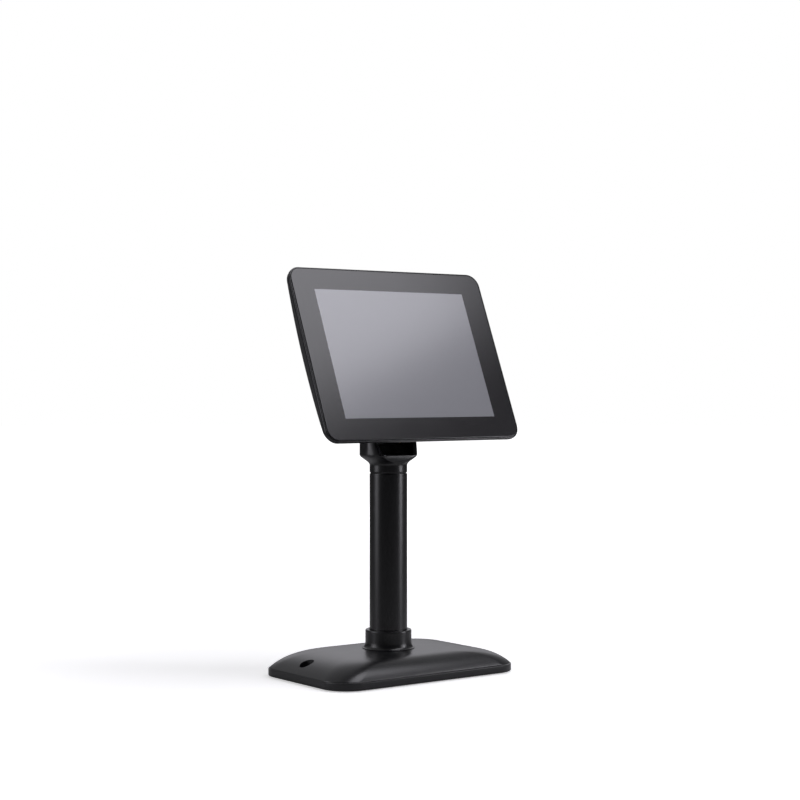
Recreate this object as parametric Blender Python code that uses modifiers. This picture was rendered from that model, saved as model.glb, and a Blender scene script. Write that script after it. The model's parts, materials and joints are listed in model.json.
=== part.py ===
"""Small touchscreen checkout terminal on a swivelling, tilting pole with a weighted base.

Metres, +Z up. +X runs along the screen's width and -Y is the side that the screen faces.
The origin lies on the counter, under the middle of the base.
"""

import math

import bmesh
import bpy
from mathutils import Matrix

MM = 0.001
GAP = 0.3 * MM  # between two pieces that rest on each other or run in each other
FINE = 40  # sides of a large round piece
COARSE = 20  # sides of a middling one
SMALL = 12  # sides of a screw

M3_RADIUS = 1.5 * MM
M4_RADIUS = 2.0 * MM
SCREW_HEAD_SPREAD = 1.92  # radius of a pan head over that of its shank

# Base: a long rounded rectangle with an upright edge band and a domed top
BASE_HALF_X = 99.15 * MM
BASE_HALF_Y = 63.3 * MM
BASE_CORNER = 24.4 * MM
BASE_STAND = 0.8 * MM  # the rubber feet hold the edge this far off the counter
BASE_BAND_TOP = 7.2 * MM
BASE_TOP = 22.3 * MM
BASE_WALL = 2.5 * MM
DOME_POWER_X = 5.9
DOME_POWER_Y = 9.05
DOME_RINGS = (1.0, 0.985, 0.96, 0.925, 0.88, 0.82, 0.74, 0.62, 0.45, 0.2)

BOTTOM_PLATE_LOW = 1.4 * MM
BOTTOM_PLATE_HIGH = 2.9 * MM
WEIGHT_LOW = 3.2 * MM
WEIGHT_HIGH = 12.2 * MM
WEIGHT_HALF_X = 75.0 * MM
WEIGHT_HALF_Y = 47.0 * MM

FOOT_RADIUS = 8.0 * MM
FOOT_X = 72.0 * MM
FOOT_Y = 44.0 * MM
BASE_SCREW_X = 86.0 * MM
BASE_SCREW_Y = 40.0 * MM
BASE_SCREW_LENGTH = 6.0 * MM
BASE_SCREW_HEAD_HIGH = 0.8 * MM
BOSS_RADIUS = 3.6 * MM

WELL_X = 85.5 * MM
WELL_Y = 6.0 * MM
WELL_RADIUS = 6.3 * MM
WELL_FLOOR = 6.0 * MM
WELL_BOSS_RADIUS = 8.6 * MM
WELL_HOLE_RADIUS = 1.9 * MM  # for a 3.5 mm wood screw

# Pole, with its foot collar
POLE_Y = 3.47 * MM
POLE_RADIUS = 16.7 * MM
POLE_BORE = 14.4 * MM
POLE_TOP = 177.2 * MM
COLLAR_RADIUS = 20.5 * MM
COLLAR_FOOT_RADIUS = 23.2 * MM
COLLAR_FLARE_HIGH = 5.5 * MM
COLLAR_TOP = 38.9 * MM
COLLAR_CHAMFER = 0.7 * MM
COLLAR_FLARE_STEPS = 4
ANCHOR_TOP = 47.0 * MM
POLE_BOLT_RADIUS = 4.0 * MM
POLE_BOLT_HEAD = 6.5 * MM
POLE_BOLT_HEAD_HIGH = 5.0 * MM
POLE_BOLT_TOP = 43.0 * MM

# Swivel, between the pole and the head
SWIVEL_WASHER_RADIUS = 16.0 * MM
SWIVEL_WASHER_LOW = 177.45 * MM
SWIVEL_WASHER_HIGH = 177.95 * MM
SWIVEL_BOLT_RADIUS = 5.0 * MM
SWIVEL_HEAD_RADIUS = 8.0 * MM
SWIVEL_HEAD_HIGH = 3.2 * MM
BUSH_LOW = 158.0 * MM
SPRING_WASHER_HIGH = 1.2 * MM
SWIVEL_NUT_HIGH = 6.0 * MM

# Head: a turned neck and cup, flat at the front, with two ears for the tilt bolt
NECK_LOW = 178.2 * MM
FLARE_LOW = 184.4 * MM
FLARE_TOP = 194.0 * MM
CUP_FLOOR = 193.3 * MM
CUP_RADIUS = 25.6 * MM
CUP_BORE = 22.0 * MM
HEAD_FLAT_Y = -16.9 * MM  # from the pole's axis
FLARE_STEPS = 10
FLARE_LATENESS = 1.1  # over 1 keeps the flare slim for longer
EAR_BACK_ANGLE = math.radians(40)
HEAD_REACH = 30.0 * MM  # past the head on every side
EAR_RADIUS = 10.76 * MM
EAR_BOSS_RADIUS = 9.6 * MM
EAR_BOSS_INNER = 14.0 * MM
CAP_WELL_RADIUS = 7.5 * MM
CAP_WELL_FLOOR = 17.5 * MM
CAP_FACE = 22.6 * MM
CAP_HIGH = 2.0 * MM
TILT_BOLT_RADIUS = 4.0 * MM
TILT_HEAD_HIGH = 2.5 * MM
TILT_HEAD_RADIUS = 6.5 * MM
WASHER_HIGH = 0.8 * MM

# Display: placed from the middle of the glass's front face, which leans back by TILT
TILT = math.radians(22.9)
PIVOT_Y = POLE_Y + 4.0 * MM
PIVOT_Z = 210.8 * MM
SCREEN_ABOVE_PIVOT = 54.1 * MM
SCREEN_BEFORE_PIVOT = 56.7 * MM

PANEL_HALF_X = 104.6 * MM
PANEL_HALF_Y = 80.9 * MM
PANEL_CORNER = 12.0 * MM
RIM_WALL = 1.1 * MM
RIM_FRONT = -0.5 * MM
RIM_LEDGE = -2.1 * MM
RIM_BACK = -3.4 * MM
GLASS_BACK = -1.8 * MM
GASKET_BACK = -2.6 * MM
LCD_HALF_X = 91.5 * MM
LCD_HALF_Y = 70.5 * MM
LCD_FRONT = -2.9 * MM
LCD_BACK = -8.4 * MM
ACTIVE_HALF_X = 81.0 * MM
ACTIVE_HALF_Y = 60.0 * MM
CHASSIS_FRONT = -8.7 * MM
CHASSIS_BACK = -10.2 * MM
CHASSIS_HALF_X = 91.5 * MM
CHASSIS_HALF_Y = 69.0 * MM
CHASSIS_CORNER = 6.0 * MM
PILLAR_RADIUS = 5.0 * MM
STANDOFF_RADIUS = 3.0 * MM
STANDOFF_X = 52.0 * MM
STANDOFF_LOW = 10.0 * MM
STANDOFF_HIGH = 50.0 * MM

COVER_INSET = 0.5 * MM
COVER_FRONT = -3.7 * MM
COVER_EDGE_DEPTH = 5.0 * MM
COVER_ARCH = 4.2 * MM  # how much deeper the two sides are at half height
COVER_ARCH_REACH = 76.0 * MM
COVER_DEPTH = 28.0 * MM
COVER_WALL = 2.2 * MM
PLATEAU_HALF_X = 66.0 * MM
PLATEAU_HALF_Y = 46.0 * MM
PLATEAU_CORNER = 12.0 * MM
COVER_STEPS = 5
COVER_CORNER_STEPS = 4
COVER_SIDE_STEPS = (2, 6)  # along the long and the short sides

VENT_COUNT = 9
VENT_PITCH = 7.0 * MM
VENT_WIDTH = 2.4 * MM
VENT_LOW = 49.0 * MM
VENT_HIGH = 65.0 * MM

CASE_SCREW_X = 84.0 * MM
CASE_SCREW_Y = 61.0 * MM
CASE_SEAT = -18.6 * MM
CASE_WELL_RADIUS = 3.3 * MM
CASE_SCREW_HEAD_HIGH = 1.8 * MM
CASE_COLUMN_RADIUS = 5.0 * MM

ARM_PLATE_HALF_X = 27.0 * MM
ARM_PLATE_LOW = -50.0 * MM
ARM_PLATE_HIGH = 4.0 * MM
ARM_PLATE_THICK = 3.0 * MM
ARM_BARREL_RADIUS = 8.0 * MM
ARM_WEB_HALF_X = 9.0 * MM
ARM_SCREW_X = 20.0 * MM
ARM_SCREW_LOW = -39.0 * MM
ARM_SCREW_HIGH = -3.0 * MM
ARM_SCREW_LENGTH = 12.0 * MM
ARM_SCREW_HEAD_HIGH = 2.2 * MM
ARM_PLATE_CORNER = 6.0 * MM
ARM_WEB_TOP = -22.0 * MM

BOARD_THICK = 1.6 * MM
MAIN_BOARD_BACK = -15.6 * MM
MAIN_BOARD_HALF_X = 60.0 * MM
MAIN_BOARD_LOW = 4.0 * MM
MAIN_BOARD_HIGH = 57.0 * MM
CABLE_HALF_X = 10.0 * MM
CABLE_Y = 63.0 * MM
CABLE_THICK = 0.4 * MM
CABLE_BEND = 3.0 * MM
IO_BOARD_X = 48.0 * MM
IO_BOARD_HALF_X = 15.0 * MM
IO_BOARD_LOW = -40.0 * MM
IO_BOARD_HIGH = 2.0 * MM
VIDEO_Y = -32.0 * MM
DATA_Y = -20.0 * MM
POWER_JACK_Y = -6.0 * MM
SOCKET_FACE = -27.6 * MM
SOCKET_DEEP = 9.0 * MM
SOCKET_WALL = 0.7 * MM
TONGUE_THICK = 1.2 * MM
JACK_BORE = 3.2 * MM
JACK_PIN_RADIUS = 1.0 * MM

KEY_X = -48.0 * MM
KEY_RADIUS = 3.5 * MM
KEY_FACE = -29.0 * MM
KEY_FLANGE_RADIUS = 4.8 * MM
KEY_FLANGE_HIGH = 0.8 * MM
KEY_PITCH = 11.0 * MM
KEY_LOWEST_Y = -34.0 * MM
POWER_KEY_Y = 6.0 * MM
KEY_TRAVEL = 1.0 * MM
KEY_BOARD_BACK = -20.9 * MM
KEY_BOARD_HALF_X = 10.0 * MM
KEY_BOARD_MARGIN = 7.0 * MM
KEY_SWITCH_HALF = 3.0 * MM


# Scene helpers


def clear_scene():
    for obj in list(bpy.data.objects):
        bpy.data.objects.remove(obj)


def make_collection(name):
    group = bpy.data.collections.new(name)
    bpy.context.scene.collection.children.link(group)
    return group


def finish(name, colour, roughness, metallic=0.0):
    """A Principled material with one colour."""
    made = bpy.data.materials.new(name)
    made.use_nodes = True
    shader = made.node_tree.nodes["Principled BSDF"]
    shader.inputs["Base Color"].default_value = (*colour, 1.0)
    shader.inputs["Roughness"].default_value = roughness
    shader.inputs["Metallic"].default_value = metallic
    return made


def add(name, data, frame=None, place=(0, 0, 0), turn=(0, 0, 0)):
    """Puts a mesh or a curve in the scene as a named piece, placed in its frame."""
    obj = bpy.data.objects.new(name, data)
    PIECES.objects.link(obj)
    obj.parent = frame
    obj.location = place
    obj.rotation_euler = turn
    if data is not None and name in LOOKS:
        data.materials.append(FINISHES[LOOKS[name]])
    return obj


def helper(obj):
    """Turns a piece into a cutter that only shapes other pieces."""
    PIECES.objects.unlink(obj)
    CUTTERS.objects.link(obj)
    obj.hide_render = True
    obj.display_type = "WIRE"
    return obj


def mesh_from(name, build):
    """A mesh made by a function that fills a bmesh."""
    mesh = bpy.data.meshes.new(name)
    work = bmesh.new()
    build(work)
    bmesh.ops.recalc_face_normals(work, faces=work.faces)
    work.to_mesh(mesh)
    work.free()
    return mesh


def smooth(mesh):
    mesh.shade_smooth()
    mesh.set_sharp_from_angle(angle=math.radians(35))


def box(name, low, high, frame=None):
    """A block between two corners."""
    size = [h - l for l, h in zip(low, high)]
    middle = [(l + h) / 2 for l, h in zip(low, high)]

    def build(work):
        bmesh.ops.create_cube(work, size=1.0, matrix=Matrix.Diagonal((*size, 1.0)))

    return add(name, mesh_from(name, build), frame, middle)


def cylinder(name, radius, low, high, place=(0, 0), frame=None, sides=COARSE):
    """A disc or rod along Z, from low to high."""
    middle = (low + high) / 2

    def build(work):
        bmesh.ops.create_cone(
            work,
            cap_ends=True,
            segments=sides,
            radius1=radius,
            radius2=radius,
            depth=high - low,
        )

    mesh = mesh_from(name, build)
    smooth(mesh)
    return add(name, mesh, frame, (*place, middle))


def cross_cylinder(name, radius, low, high, frame=None, place=(0, 0), sides=COARSE):
    """A disc or rod along X, from low to high, at the given Y and Z."""
    obj = cylinder(name, radius, low, high, frame=frame, sides=sides)
    obj.location = ((low + high) / 2, *place)
    obj.rotation_euler = (0, math.pi / 2, 0)
    return obj


def turned(name, profile, frame=None, place=(0, 0, 0), sides=COARSE, closed=False):
    """A profile of (radius, height) points turned about Z. It runs down its outer side."""
    mesh = bpy.data.meshes.new(name)
    points = [(r, 0, z) for r, z in profile]
    edges = [(i, i + 1) for i in range(len(points) - 1)]
    if closed:
        edges.append((len(points) - 1, 0))
    mesh.from_pydata(points, edges, [])
    obj = add(name, mesh, frame, place)
    screw = obj.modifiers.new("turn", "SCREW")
    screw.steps = sides
    screw.render_steps = sides
    screw.use_merge_vertices = True
    screw.merge_threshold = 0.00001
    return obj


def ring(name, outer, inner, low, high, frame=None, place=(0, 0), sides=COARSE):
    """A plain washer or sleeve about Z."""
    profile = [(outer, high), (outer, low), (inner, low), (inner, high)]
    return turned(name, profile, frame, (*place, 0), sides, closed=True)


def plate(name, outlines, low, high, frame=None, turn=(0, 0, 0)):
    """A flat outline, with any holes as further outlines, between two heights."""
    curve = bpy.data.curves.new(name, "CURVE")
    curve.dimensions = "2D"
    curve.fill_mode = "BOTH"
    curve.extrude = (high - low) / 2
    for outline in outlines:
        spline = curve.splines.new("POLY")
        spline.points.add(len(outline) - 1)
        for point, (x, y) in zip(spline.points, outline):
            point.co = (x, y, 0, 1)
        spline.use_cyclic_u = True
    return add(name, curve, frame, (0, 0, (low + high) / 2), turn)


def as_mesh(obj):
    """The same piece as a welded mesh, so that it can be cut and can cut."""
    bpy.context.view_layer.update()
    graph = bpy.context.evaluated_depsgraph_get()
    mesh = bpy.data.meshes.new_from_object(obj.evaluated_get(graph))
    work = bmesh.new()
    work.from_mesh(mesh)
    bmesh.ops.remove_doubles(work, verts=work.verts, dist=0.000001)
    bmesh.ops.recalc_face_normals(work, faces=work.faces)
    work.to_mesh(mesh)
    work.free()
    name = obj.name
    frame, place, turn = obj.parent, tuple(obj.location), tuple(obj.rotation_euler)
    bpy.data.objects.remove(obj)
    made = bpy.data.objects.new(name, mesh)
    PIECES.objects.link(made)
    made.parent = frame
    made.location = place
    made.rotation_euler = turn
    return made


def boolean(obj, other, operation):
    modifier = obj.modifiers.new(other.name, "BOOLEAN")
    modifier.operation = operation
    modifier.solver = "EXACT"
    modifier.object = helper(other)


def cut(obj, *others):
    for other in others:
        boolean(obj, other, "DIFFERENCE")


def join(obj, *others):
    for other in others:
        boolean(obj, other, "UNION")


# Outlines


def arc(centre, radius, start, end, steps):
    """Points on an arc, its ends included."""
    points = []
    for i in range(steps + 1):
        angle = start + (end - start) * i / steps
        points.append(
            (centre[0] + radius * math.cos(angle), centre[1] + radius * math.sin(angle))
        )
    return points


def circle(centre, radius, sides=SMALL):
    return arc(centre, radius, 0, 2 * math.pi, sides)[:-1]


def rounded_rectangle(half_x, half_y, corner, centre=(0, 0), steps=6, side_steps=(1, 1)):
    """Corner arcs joined by straight sides, each side split into side_steps pieces."""
    corner = min(corner, half_x, half_y)
    middles = (
        (half_x - corner, half_y - corner),
        (corner - half_x, half_y - corner),
        (corner - half_x, corner - half_y),
        (half_x - corner, corner - half_y),
    )
    points = []
    for i, (x, y) in enumerate(middles):
        start = i * math.pi / 2
        bend = arc((centre[0] + x, centre[1] + y), corner, start, start + math.pi / 2, steps)
        if points:
            points += between(points[-1], bend[0], side_steps[(i + 1) % 2])
        points += bend
    return points + between(points[-1], points[0], side_steps[1])


def between(start, end, pieces):
    """The inner points that split a straight side into equal pieces."""
    return [
        tuple(s + (e - s) * i / pieces for s, e in zip(start, end)) for i in range(1, pieces)
    ]


def loft(name, rings, frame=None):
    """A closed skin over rings of points that have the same count, with a flat face at each end."""

    def build(work):
        rows = [[work.verts.new(point) for point in points] for points in rings]
        for row, after in zip(rows, rows[1:]):
            for i in range(len(row)):
                k = (i + 1) % len(row)
                work.faces.new((row[i], row[k], after[k], after[i]))
        work.faces.new(rows[0])
        work.faces.new(rows[-1])

    mesh = mesh_from(name, build)
    smooth(mesh)
    return add(name, mesh, frame)


# Base


def dome_ring(share, wall):
    """The base's level outline where the dome has narrowed to this share of its length."""
    fall = share**DOME_POWER_X
    half_x = (BASE_HALF_X - wall) * share
    half_y = (BASE_HALF_Y - wall) * fall ** (1 / DOME_POWER_Y)
    height = BASE_TOP - wall - (BASE_TOP - BASE_BAND_TOP) * fall
    outline = rounded_rectangle(half_x, half_y, BASE_CORNER - wall)
    return [(x, y, height) for x, y in outline]


def base_solid(name, wall, low):
    foot = rounded_rectangle(BASE_HALF_X - wall, BASE_HALF_Y - wall, BASE_CORNER - wall)
    rings = [[(x, y, low) for x, y in foot]]
    rings += [dome_ring(share, wall) for share in DOME_RINGS]
    return loft(name, rings)


def four_corners(half_x, half_y):
    return [(x, y) for x in (-half_x, half_x) for y in (-half_y, half_y)]


def base_cover():
    cover = base_solid("base_cover", 0, BASE_STAND)
    hollow = base_solid("base_hollow", BASE_WALL, -BASE_STAND)
    boss_low = BOTTOM_PLATE_HIGH + GAP
    for i, place in enumerate(four_corners(BASE_SCREW_X, BASE_SCREW_Y)):
        boss = cylinder(f"base_boss_{i + 1}", BOSS_RADIUS, boss_low, BASE_TOP, place, sides=SMALL)
        cut(hollow, boss)
    for i, x in enumerate((-WELL_X, WELL_X)):
        boss = cylinder(f"well_boss_{i + 1}", WELL_BOSS_RADIUS, boss_low, BASE_TOP, (x, WELL_Y))
        cut(hollow, boss)
    cut(cover, hollow)
    for i, place in enumerate(four_corners(BASE_SCREW_X, BASE_SCREW_Y)):
        top = boss_low + BASE_SCREW_LENGTH
        hole = cylinder(f"base_pilot_{i + 1}", M3_RADIUS + GAP, 0, top, place, sides=SMALL)
        cut(cover, hole)
    for i, x in enumerate((-WELL_X, WELL_X)):
        place = (x, WELL_Y)
        cut(cover, cylinder(f"well_{i + 1}", WELL_RADIUS, WELL_FLOOR, 2 * BASE_TOP, place))
        cut(cover, cylinder(f"well_hole_{i + 1}", WELL_HOLE_RADIUS, 0, BASE_TOP, place, sides=SMALL))
    hole = cylinder("cover_bolt_hole", POLE_BOLT_RADIUS + GAP, WEIGHT_HIGH, 2 * BASE_TOP, (0, POLE_Y))
    cut(cover, hole)


def base_weight():
    outlines = [
        rounded_rectangle(WEIGHT_HALF_X, WEIGHT_HALF_Y, BASE_CORNER / 2),
        circle((0, POLE_Y), POLE_BOLT_RADIUS + GAP, COARSE),
    ]
    weight = as_mesh(plate("base_weight", outlines, WEIGHT_LOW, WEIGHT_HIGH))
    deep = WEIGHT_LOW + POLE_BOLT_HEAD_HIGH + 2 * GAP
    cut(weight, cylinder("bolt_well", POLE_BOLT_HEAD + GAP, 0, deep, (0, POLE_Y)))


def bottom_plate():
    inset = BASE_WALL + GAP
    outlines = [rounded_rectangle(BASE_HALF_X - inset, BASE_HALF_Y - inset, BASE_CORNER - inset)]
    outlines += [circle(p, M3_RADIUS + GAP) for p in four_corners(BASE_SCREW_X, BASE_SCREW_Y)]
    outlines += [circle((x, WELL_Y), WELL_HOLE_RADIUS + GAP) for x in (-WELL_X, WELL_X)]
    plate("bottom_plate", outlines, BOTTOM_PLATE_LOW, BOTTOM_PLATE_HIGH)


def feet():
    for i, place in enumerate(four_corners(FOOT_X, FOOT_Y)):
        cylinder(f"foot_{i + 1}", FOOT_RADIUS, 0, BOTTOM_PLATE_LOW - GAP, place, sides=SMALL)


def machine_screw(name, radius, head_high, length, place, frame=None):
    """A pan-head screw seated at place, with its shank towards +Z and its head towards -Z."""
    head = SCREW_HEAD_SPREAD * radius
    profile = [
        (0, head_high),
        (0.6 * head, head_high),
        (head, 0.5 * head_high),
        (head, 0),
        (radius, 0),
        (radius, -length),
        (0, -length),
    ]
    screw = turned(name, profile, frame, place, SMALL)
    screw.rotation_euler = (math.pi, 0, 0)


def base_screws():
    seat = BOTTOM_PLATE_LOW - GAP
    for i, (x, y) in enumerate(four_corners(BASE_SCREW_X, BASE_SCREW_Y)):
        place = (x, y, seat)
        machine_screw(f"base_screw_{i + 1}", M3_RADIUS, BASE_SCREW_HEAD_HIGH, BASE_SCREW_LENGTH, place)


# Pole


def pole_collar():
    bore = POLE_RADIUS + GAP
    low = BASE_TOP + GAP
    profile = [
        (COLLAR_RADIUS - COLLAR_CHAMFER, COLLAR_TOP),
        (COLLAR_RADIUS, COLLAR_TOP - COLLAR_CHAMFER),
    ]
    for i in range(COLLAR_FLARE_STEPS + 1):
        turn = i / COLLAR_FLARE_STEPS * math.pi / 2
        reach = (COLLAR_FOOT_RADIUS - COLLAR_RADIUS) * (1 - math.cos(turn))
        profile.append((COLLAR_RADIUS + reach, low + COLLAR_FLARE_HIGH * (1 - math.sin(turn))))
    profile += [(bore, low), (bore, COLLAR_TOP)]
    turned("pole_collar", profile, None, (0, POLE_Y, 0), FINE, closed=True)


def pole_tube():
    low = BASE_TOP + GAP
    ring("pole_tube", POLE_RADIUS, POLE_BORE, low, POLE_TOP, None, (0, POLE_Y), FINE)


def pole_anchor():
    low = BASE_TOP + GAP
    bore = POLE_BOLT_RADIUS + GAP
    ring("pole_anchor", POLE_BORE - GAP, bore, low, ANCHOR_TOP, None, (0, POLE_Y))


def pole_bolt():
    seat = WEIGHT_LOW + POLE_BOLT_HEAD_HIGH + GAP
    profile = [
        (0, POLE_BOLT_TOP),
        (POLE_BOLT_RADIUS, POLE_BOLT_TOP),
        (POLE_BOLT_RADIUS, seat),
        (POLE_BOLT_HEAD, seat),
        (POLE_BOLT_HEAD, seat - POLE_BOLT_HEAD_HIGH),
        (0, seat - POLE_BOLT_HEAD_HIGH),
    ]
    turned("pole_bolt", profile, None, (0, POLE_Y, 0))


# Swivel. Heights under the swivel frame count from the counter.


def swivel_bearing():
    bore = SWIVEL_BOLT_RADIUS + GAP
    place = (0, POLE_Y)
    ring("swivel_bush", POLE_BORE - GAP, bore, BUSH_LOW, POLE_TOP, None, place)
    low, high = SWIVEL_WASHER_LOW, SWIVEL_WASHER_HIGH
    ring("swivel_washer", SWIVEL_WASHER_RADIUS, bore, low, high, None, place, FINE)


def swivel_bolt(swivel):
    high = CUP_FLOOR - GAP
    seat = high - SWIVEL_HEAD_HIGH
    low = BUSH_LOW - 2 * GAP - SPRING_WASHER_HIGH - SWIVEL_NUT_HIGH - MM
    profile = [
        (0, high),
        (SWIVEL_HEAD_RADIUS, high),
        (SWIVEL_HEAD_RADIUS, seat),
        (SWIVEL_BOLT_RADIUS, seat),
        (SWIVEL_BOLT_RADIUS, low),
        (0, low),
    ]
    turned("swivel_bolt", profile, swivel)


def swivel_fastening(swivel):
    bore = SWIVEL_BOLT_RADIUS + GAP
    washer_high = BUSH_LOW - GAP
    washer_low = washer_high - SPRING_WASHER_HIGH
    ring("swivel_spring_washer", 1.9 * bore, bore, washer_low, washer_high, swivel)
    nut_high = washer_low - GAP
    hexagon = circle((0, 0), SWIVEL_HEAD_RADIUS, 6)
    hole = circle((0, 0), bore, COARSE)
    plate("swivel_nut", [hexagon, hole], nut_high - SWIVEL_NUT_HIGH, nut_high, swivel)


# Head


def flare():
    """Radius and height down the head's outer side, from the cup to the neck."""
    points = []
    for i in range(FLARE_STEPS + 1):
        rise = 1 - i / FLARE_STEPS
        late = rise**FLARE_LATENESS
        swell = late * late * (3 - 2 * late)
        radius = POLE_RADIUS + (CUP_RADIUS - POLE_RADIUS) * swell
        points.append((radius, FLARE_LOW + (FLARE_TOP - FLARE_LOW) * rise))
    return points


def head_side_outline():
    """Depth and height of the head seen from its side: front flat, ear and sloping back."""
    pivot_y = PIVOT_Y - POLE_Y
    lean = math.tan(TILT)
    tangent_y = pivot_y - EAR_RADIUS * math.cos(TILT)
    tangent_z = PIVOT_Z + EAR_RADIUS * math.sin(TILT)
    foot_y = tangent_y - (tangent_z - CUP_FLOOR) * lean
    ear = arc((pivot_y, PIVOT_Z), EAR_RADIUS, EAR_BACK_ANGLE, math.pi - TILT, 12)
    back_y = HEAD_REACH
    drop = (back_y - ear[0][0]) / math.tan(EAR_BACK_ANGLE)
    low = NECK_LOW - MM
    return [
        (HEAD_FLAT_Y, low),
        (back_y, low),
        (back_y, ear[0][1] - drop),
        *ear,
        (foot_y, CUP_FLOOR),
        (HEAD_FLAT_Y, CUP_FLOOR),
    ]


def extruded_across(name, outline, half_x, frame=None):
    """An outline of (Y, Z) points carried along X by half_x each way, as a mesh."""
    obj = as_mesh(plate(name, [outline], -half_x, half_x, frame))
    obj.rotation_euler = (math.pi / 2, 0, math.pi / 2)
    return obj


def head_cup(swivel):
    top = PIVOT_Z + EAR_RADIUS + MM
    profile = [(0, top), (CUP_RADIUS, top), *flare(), (POLE_RADIUS, NECK_LOW), (0, NECK_LOW)]
    cup = turned("head_cup", profile, swivel, sides=FINE)
    bore = cylinder("cup_bore", CUP_BORE, CUP_FLOOR, top + MM, frame=swivel, sides=FINE)
    for side, way in (("left", -1), ("right", 1)):
        ends = sorted((way * EAR_BOSS_INNER, way * (CUP_BORE + MM)))
        place = (PIVOT_Y - POLE_Y, PIVOT_Z)
        cut(bore, cross_cylinder(f"ear_boss_{side}", EAR_BOSS_RADIUS, *ends, swivel, place))
    cut(cup, bore)
    boolean(cup, extruded_across("head_side", head_side_outline(), HEAD_REACH, swivel), "INTERSECT")
    seat = CUP_FLOOR - 2 * GAP - SWIVEL_HEAD_HIGH
    well = cylinder("swivel_well", SWIVEL_HEAD_RADIUS + GAP, seat, CUP_FLOOR + MM, frame=swivel)
    hole = cylinder("swivel_hole", SWIVEL_BOLT_RADIUS + GAP, NECK_LOW - MM, CUP_FLOOR, frame=swivel)
    cut(cup, well, hole)
    place = (PIVOT_Y - POLE_Y, PIVOT_Z)
    far = CUP_RADIUS + MM
    cut(cup, cross_cylinder("tilt_hole", TILT_BOLT_RADIUS + GAP, -far, far, swivel, place))
    for side, way in (("left", -1), ("right", 1)):
        ends = sorted((way * CAP_WELL_FLOOR, way * far))
        cut(cup, cross_cylinder(f"cap_well_{side}", CAP_WELL_RADIUS, *ends, swivel, place))


def tilt_bolt(swivel):
    seat = CAP_WELL_FLOOR + GAP
    profile = [
        (0, seat + TILT_HEAD_HIGH),
        (TILT_HEAD_RADIUS, seat + TILT_HEAD_HIGH),
        (TILT_HEAD_RADIUS, seat),
        (TILT_BOLT_RADIUS, seat),
        (TILT_BOLT_RADIUS, -seat - TILT_HEAD_HIGH),
        (0, -seat - TILT_HEAD_HIGH),
    ]
    place = (0, PIVOT_Y - POLE_Y, PIVOT_Z)
    bolt = turned("tilt_bolt", profile, swivel, place)
    bolt.rotation_euler = (0, -math.pi / 2, 0)


def tilt_fastening(swivel):
    pivot = (PIVOT_Y - POLE_Y, PIVOT_Z)
    bore = TILT_BOLT_RADIUS + GAP
    high = EAR_BOSS_INNER - GAP
    for side, way in (("left", -1), ("right", 1)):
        washer = ring(f"tilt_washer_{side}", ARM_BARREL_RADIUS, bore, high - WASHER_HIGH, high, swivel)
        washer.location = (0, *pivot)
        washer.rotation_euler = (0, way * math.pi / 2, 0)
        ends = sorted((way * (CAP_FACE - CAP_HIGH), way * CAP_FACE))
        cross_cylinder(f"tilt_cap_{side}", CAP_WELL_RADIUS - GAP, *ends, swivel, pivot)
    seat = CAP_WELL_FLOOR + GAP
    outlines = [circle((0, 0), TILT_HEAD_RADIUS, 6), circle((0, 0), bore, COARSE)]
    nut = plate("tilt_nut", outlines, seat, seat + TILT_HEAD_HIGH, swivel)
    nut.location = (seat + TILT_HEAD_HIGH / 2, *pivot)
    nut.rotation_euler = (0, math.pi / 2, 0)


def hinge_arm(screen):
    """Barrel, web and screw plate, which carry the display on the tilt bolt."""
    back = -COVER_DEPTH - GAP
    holes = [(x, y) for x in (-ARM_SCREW_X, ARM_SCREW_X) for y in (ARM_SCREW_LOW, ARM_SCREW_HIGH)]
    middle = (ARM_PLATE_LOW + ARM_PLATE_HIGH) / 2
    half_y = (ARM_PLATE_HIGH - ARM_PLATE_LOW) / 2
    outlines = [rounded_rectangle(ARM_PLATE_HALF_X, half_y, ARM_PLATE_CORNER, (0, middle), 4)]
    outlines += [circle(place, M4_RADIUS + GAP) for place in holes]
    arm = as_mesh(plate("hinge_arm", outlines, back - ARM_PLATE_THICK, back, screen))
    pivot = (-SCREEN_ABOVE_PIVOT, -SCREEN_BEFORE_PIVOT)
    inner = back - ARM_PLATE_THICK / 2
    reach = ARM_BARREL_RADIUS * 0.8
    web = [
        (ARM_PLATE_LOW + 3 * MM, inner),
        (pivot[0] - reach, pivot[1]),
        (pivot[0] + 0.6 * reach, pivot[1] - 0.6 * reach),
        (ARM_WEB_TOP, inner),
    ]
    join(arm, extruded_across("arm_web", web, ARM_WEB_HALF_X, screen))
    half = EAR_BOSS_INNER - 3 * GAP - WASHER_HIGH + 0.1 * MM
    join(arm, cross_cylinder("arm_barrel", ARM_BARREL_RADIUS, -half, half, screen, pivot))
    bore = TILT_BOLT_RADIUS + GAP
    cut(arm, cross_cylinder("arm_bore", bore, -2 * half, 2 * half, screen, pivot))
    for i, (x, y) in enumerate(holes):
        seat = (x, y, back - ARM_PLATE_THICK - GAP)
        machine_screw(f"arm_screw_{i + 1}", M4_RADIUS, ARM_SCREW_HEAD_HIGH, ARM_SCREW_LENGTH, seat, screen)


# Display


def display_rim(screen):
    outer = rounded_rectangle(PANEL_HALF_X, PANEL_HALF_Y, PANEL_CORNER)
    window = rounded_rectangle(LCD_HALF_X + MM, LCD_HALF_Y + MM, 3 * MM, steps=2)
    rim = as_mesh(plate("display_rim", [outer, window], RIM_BACK, RIM_FRONT, screen))
    inset = RIM_WALL
    seat = rounded_rectangle(PANEL_HALF_X - inset, PANEL_HALF_Y - inset, PANEL_CORNER - inset)
    cut(rim, as_mesh(plate("glass_seat", [seat], RIM_LEDGE, MM, screen)))


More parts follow.
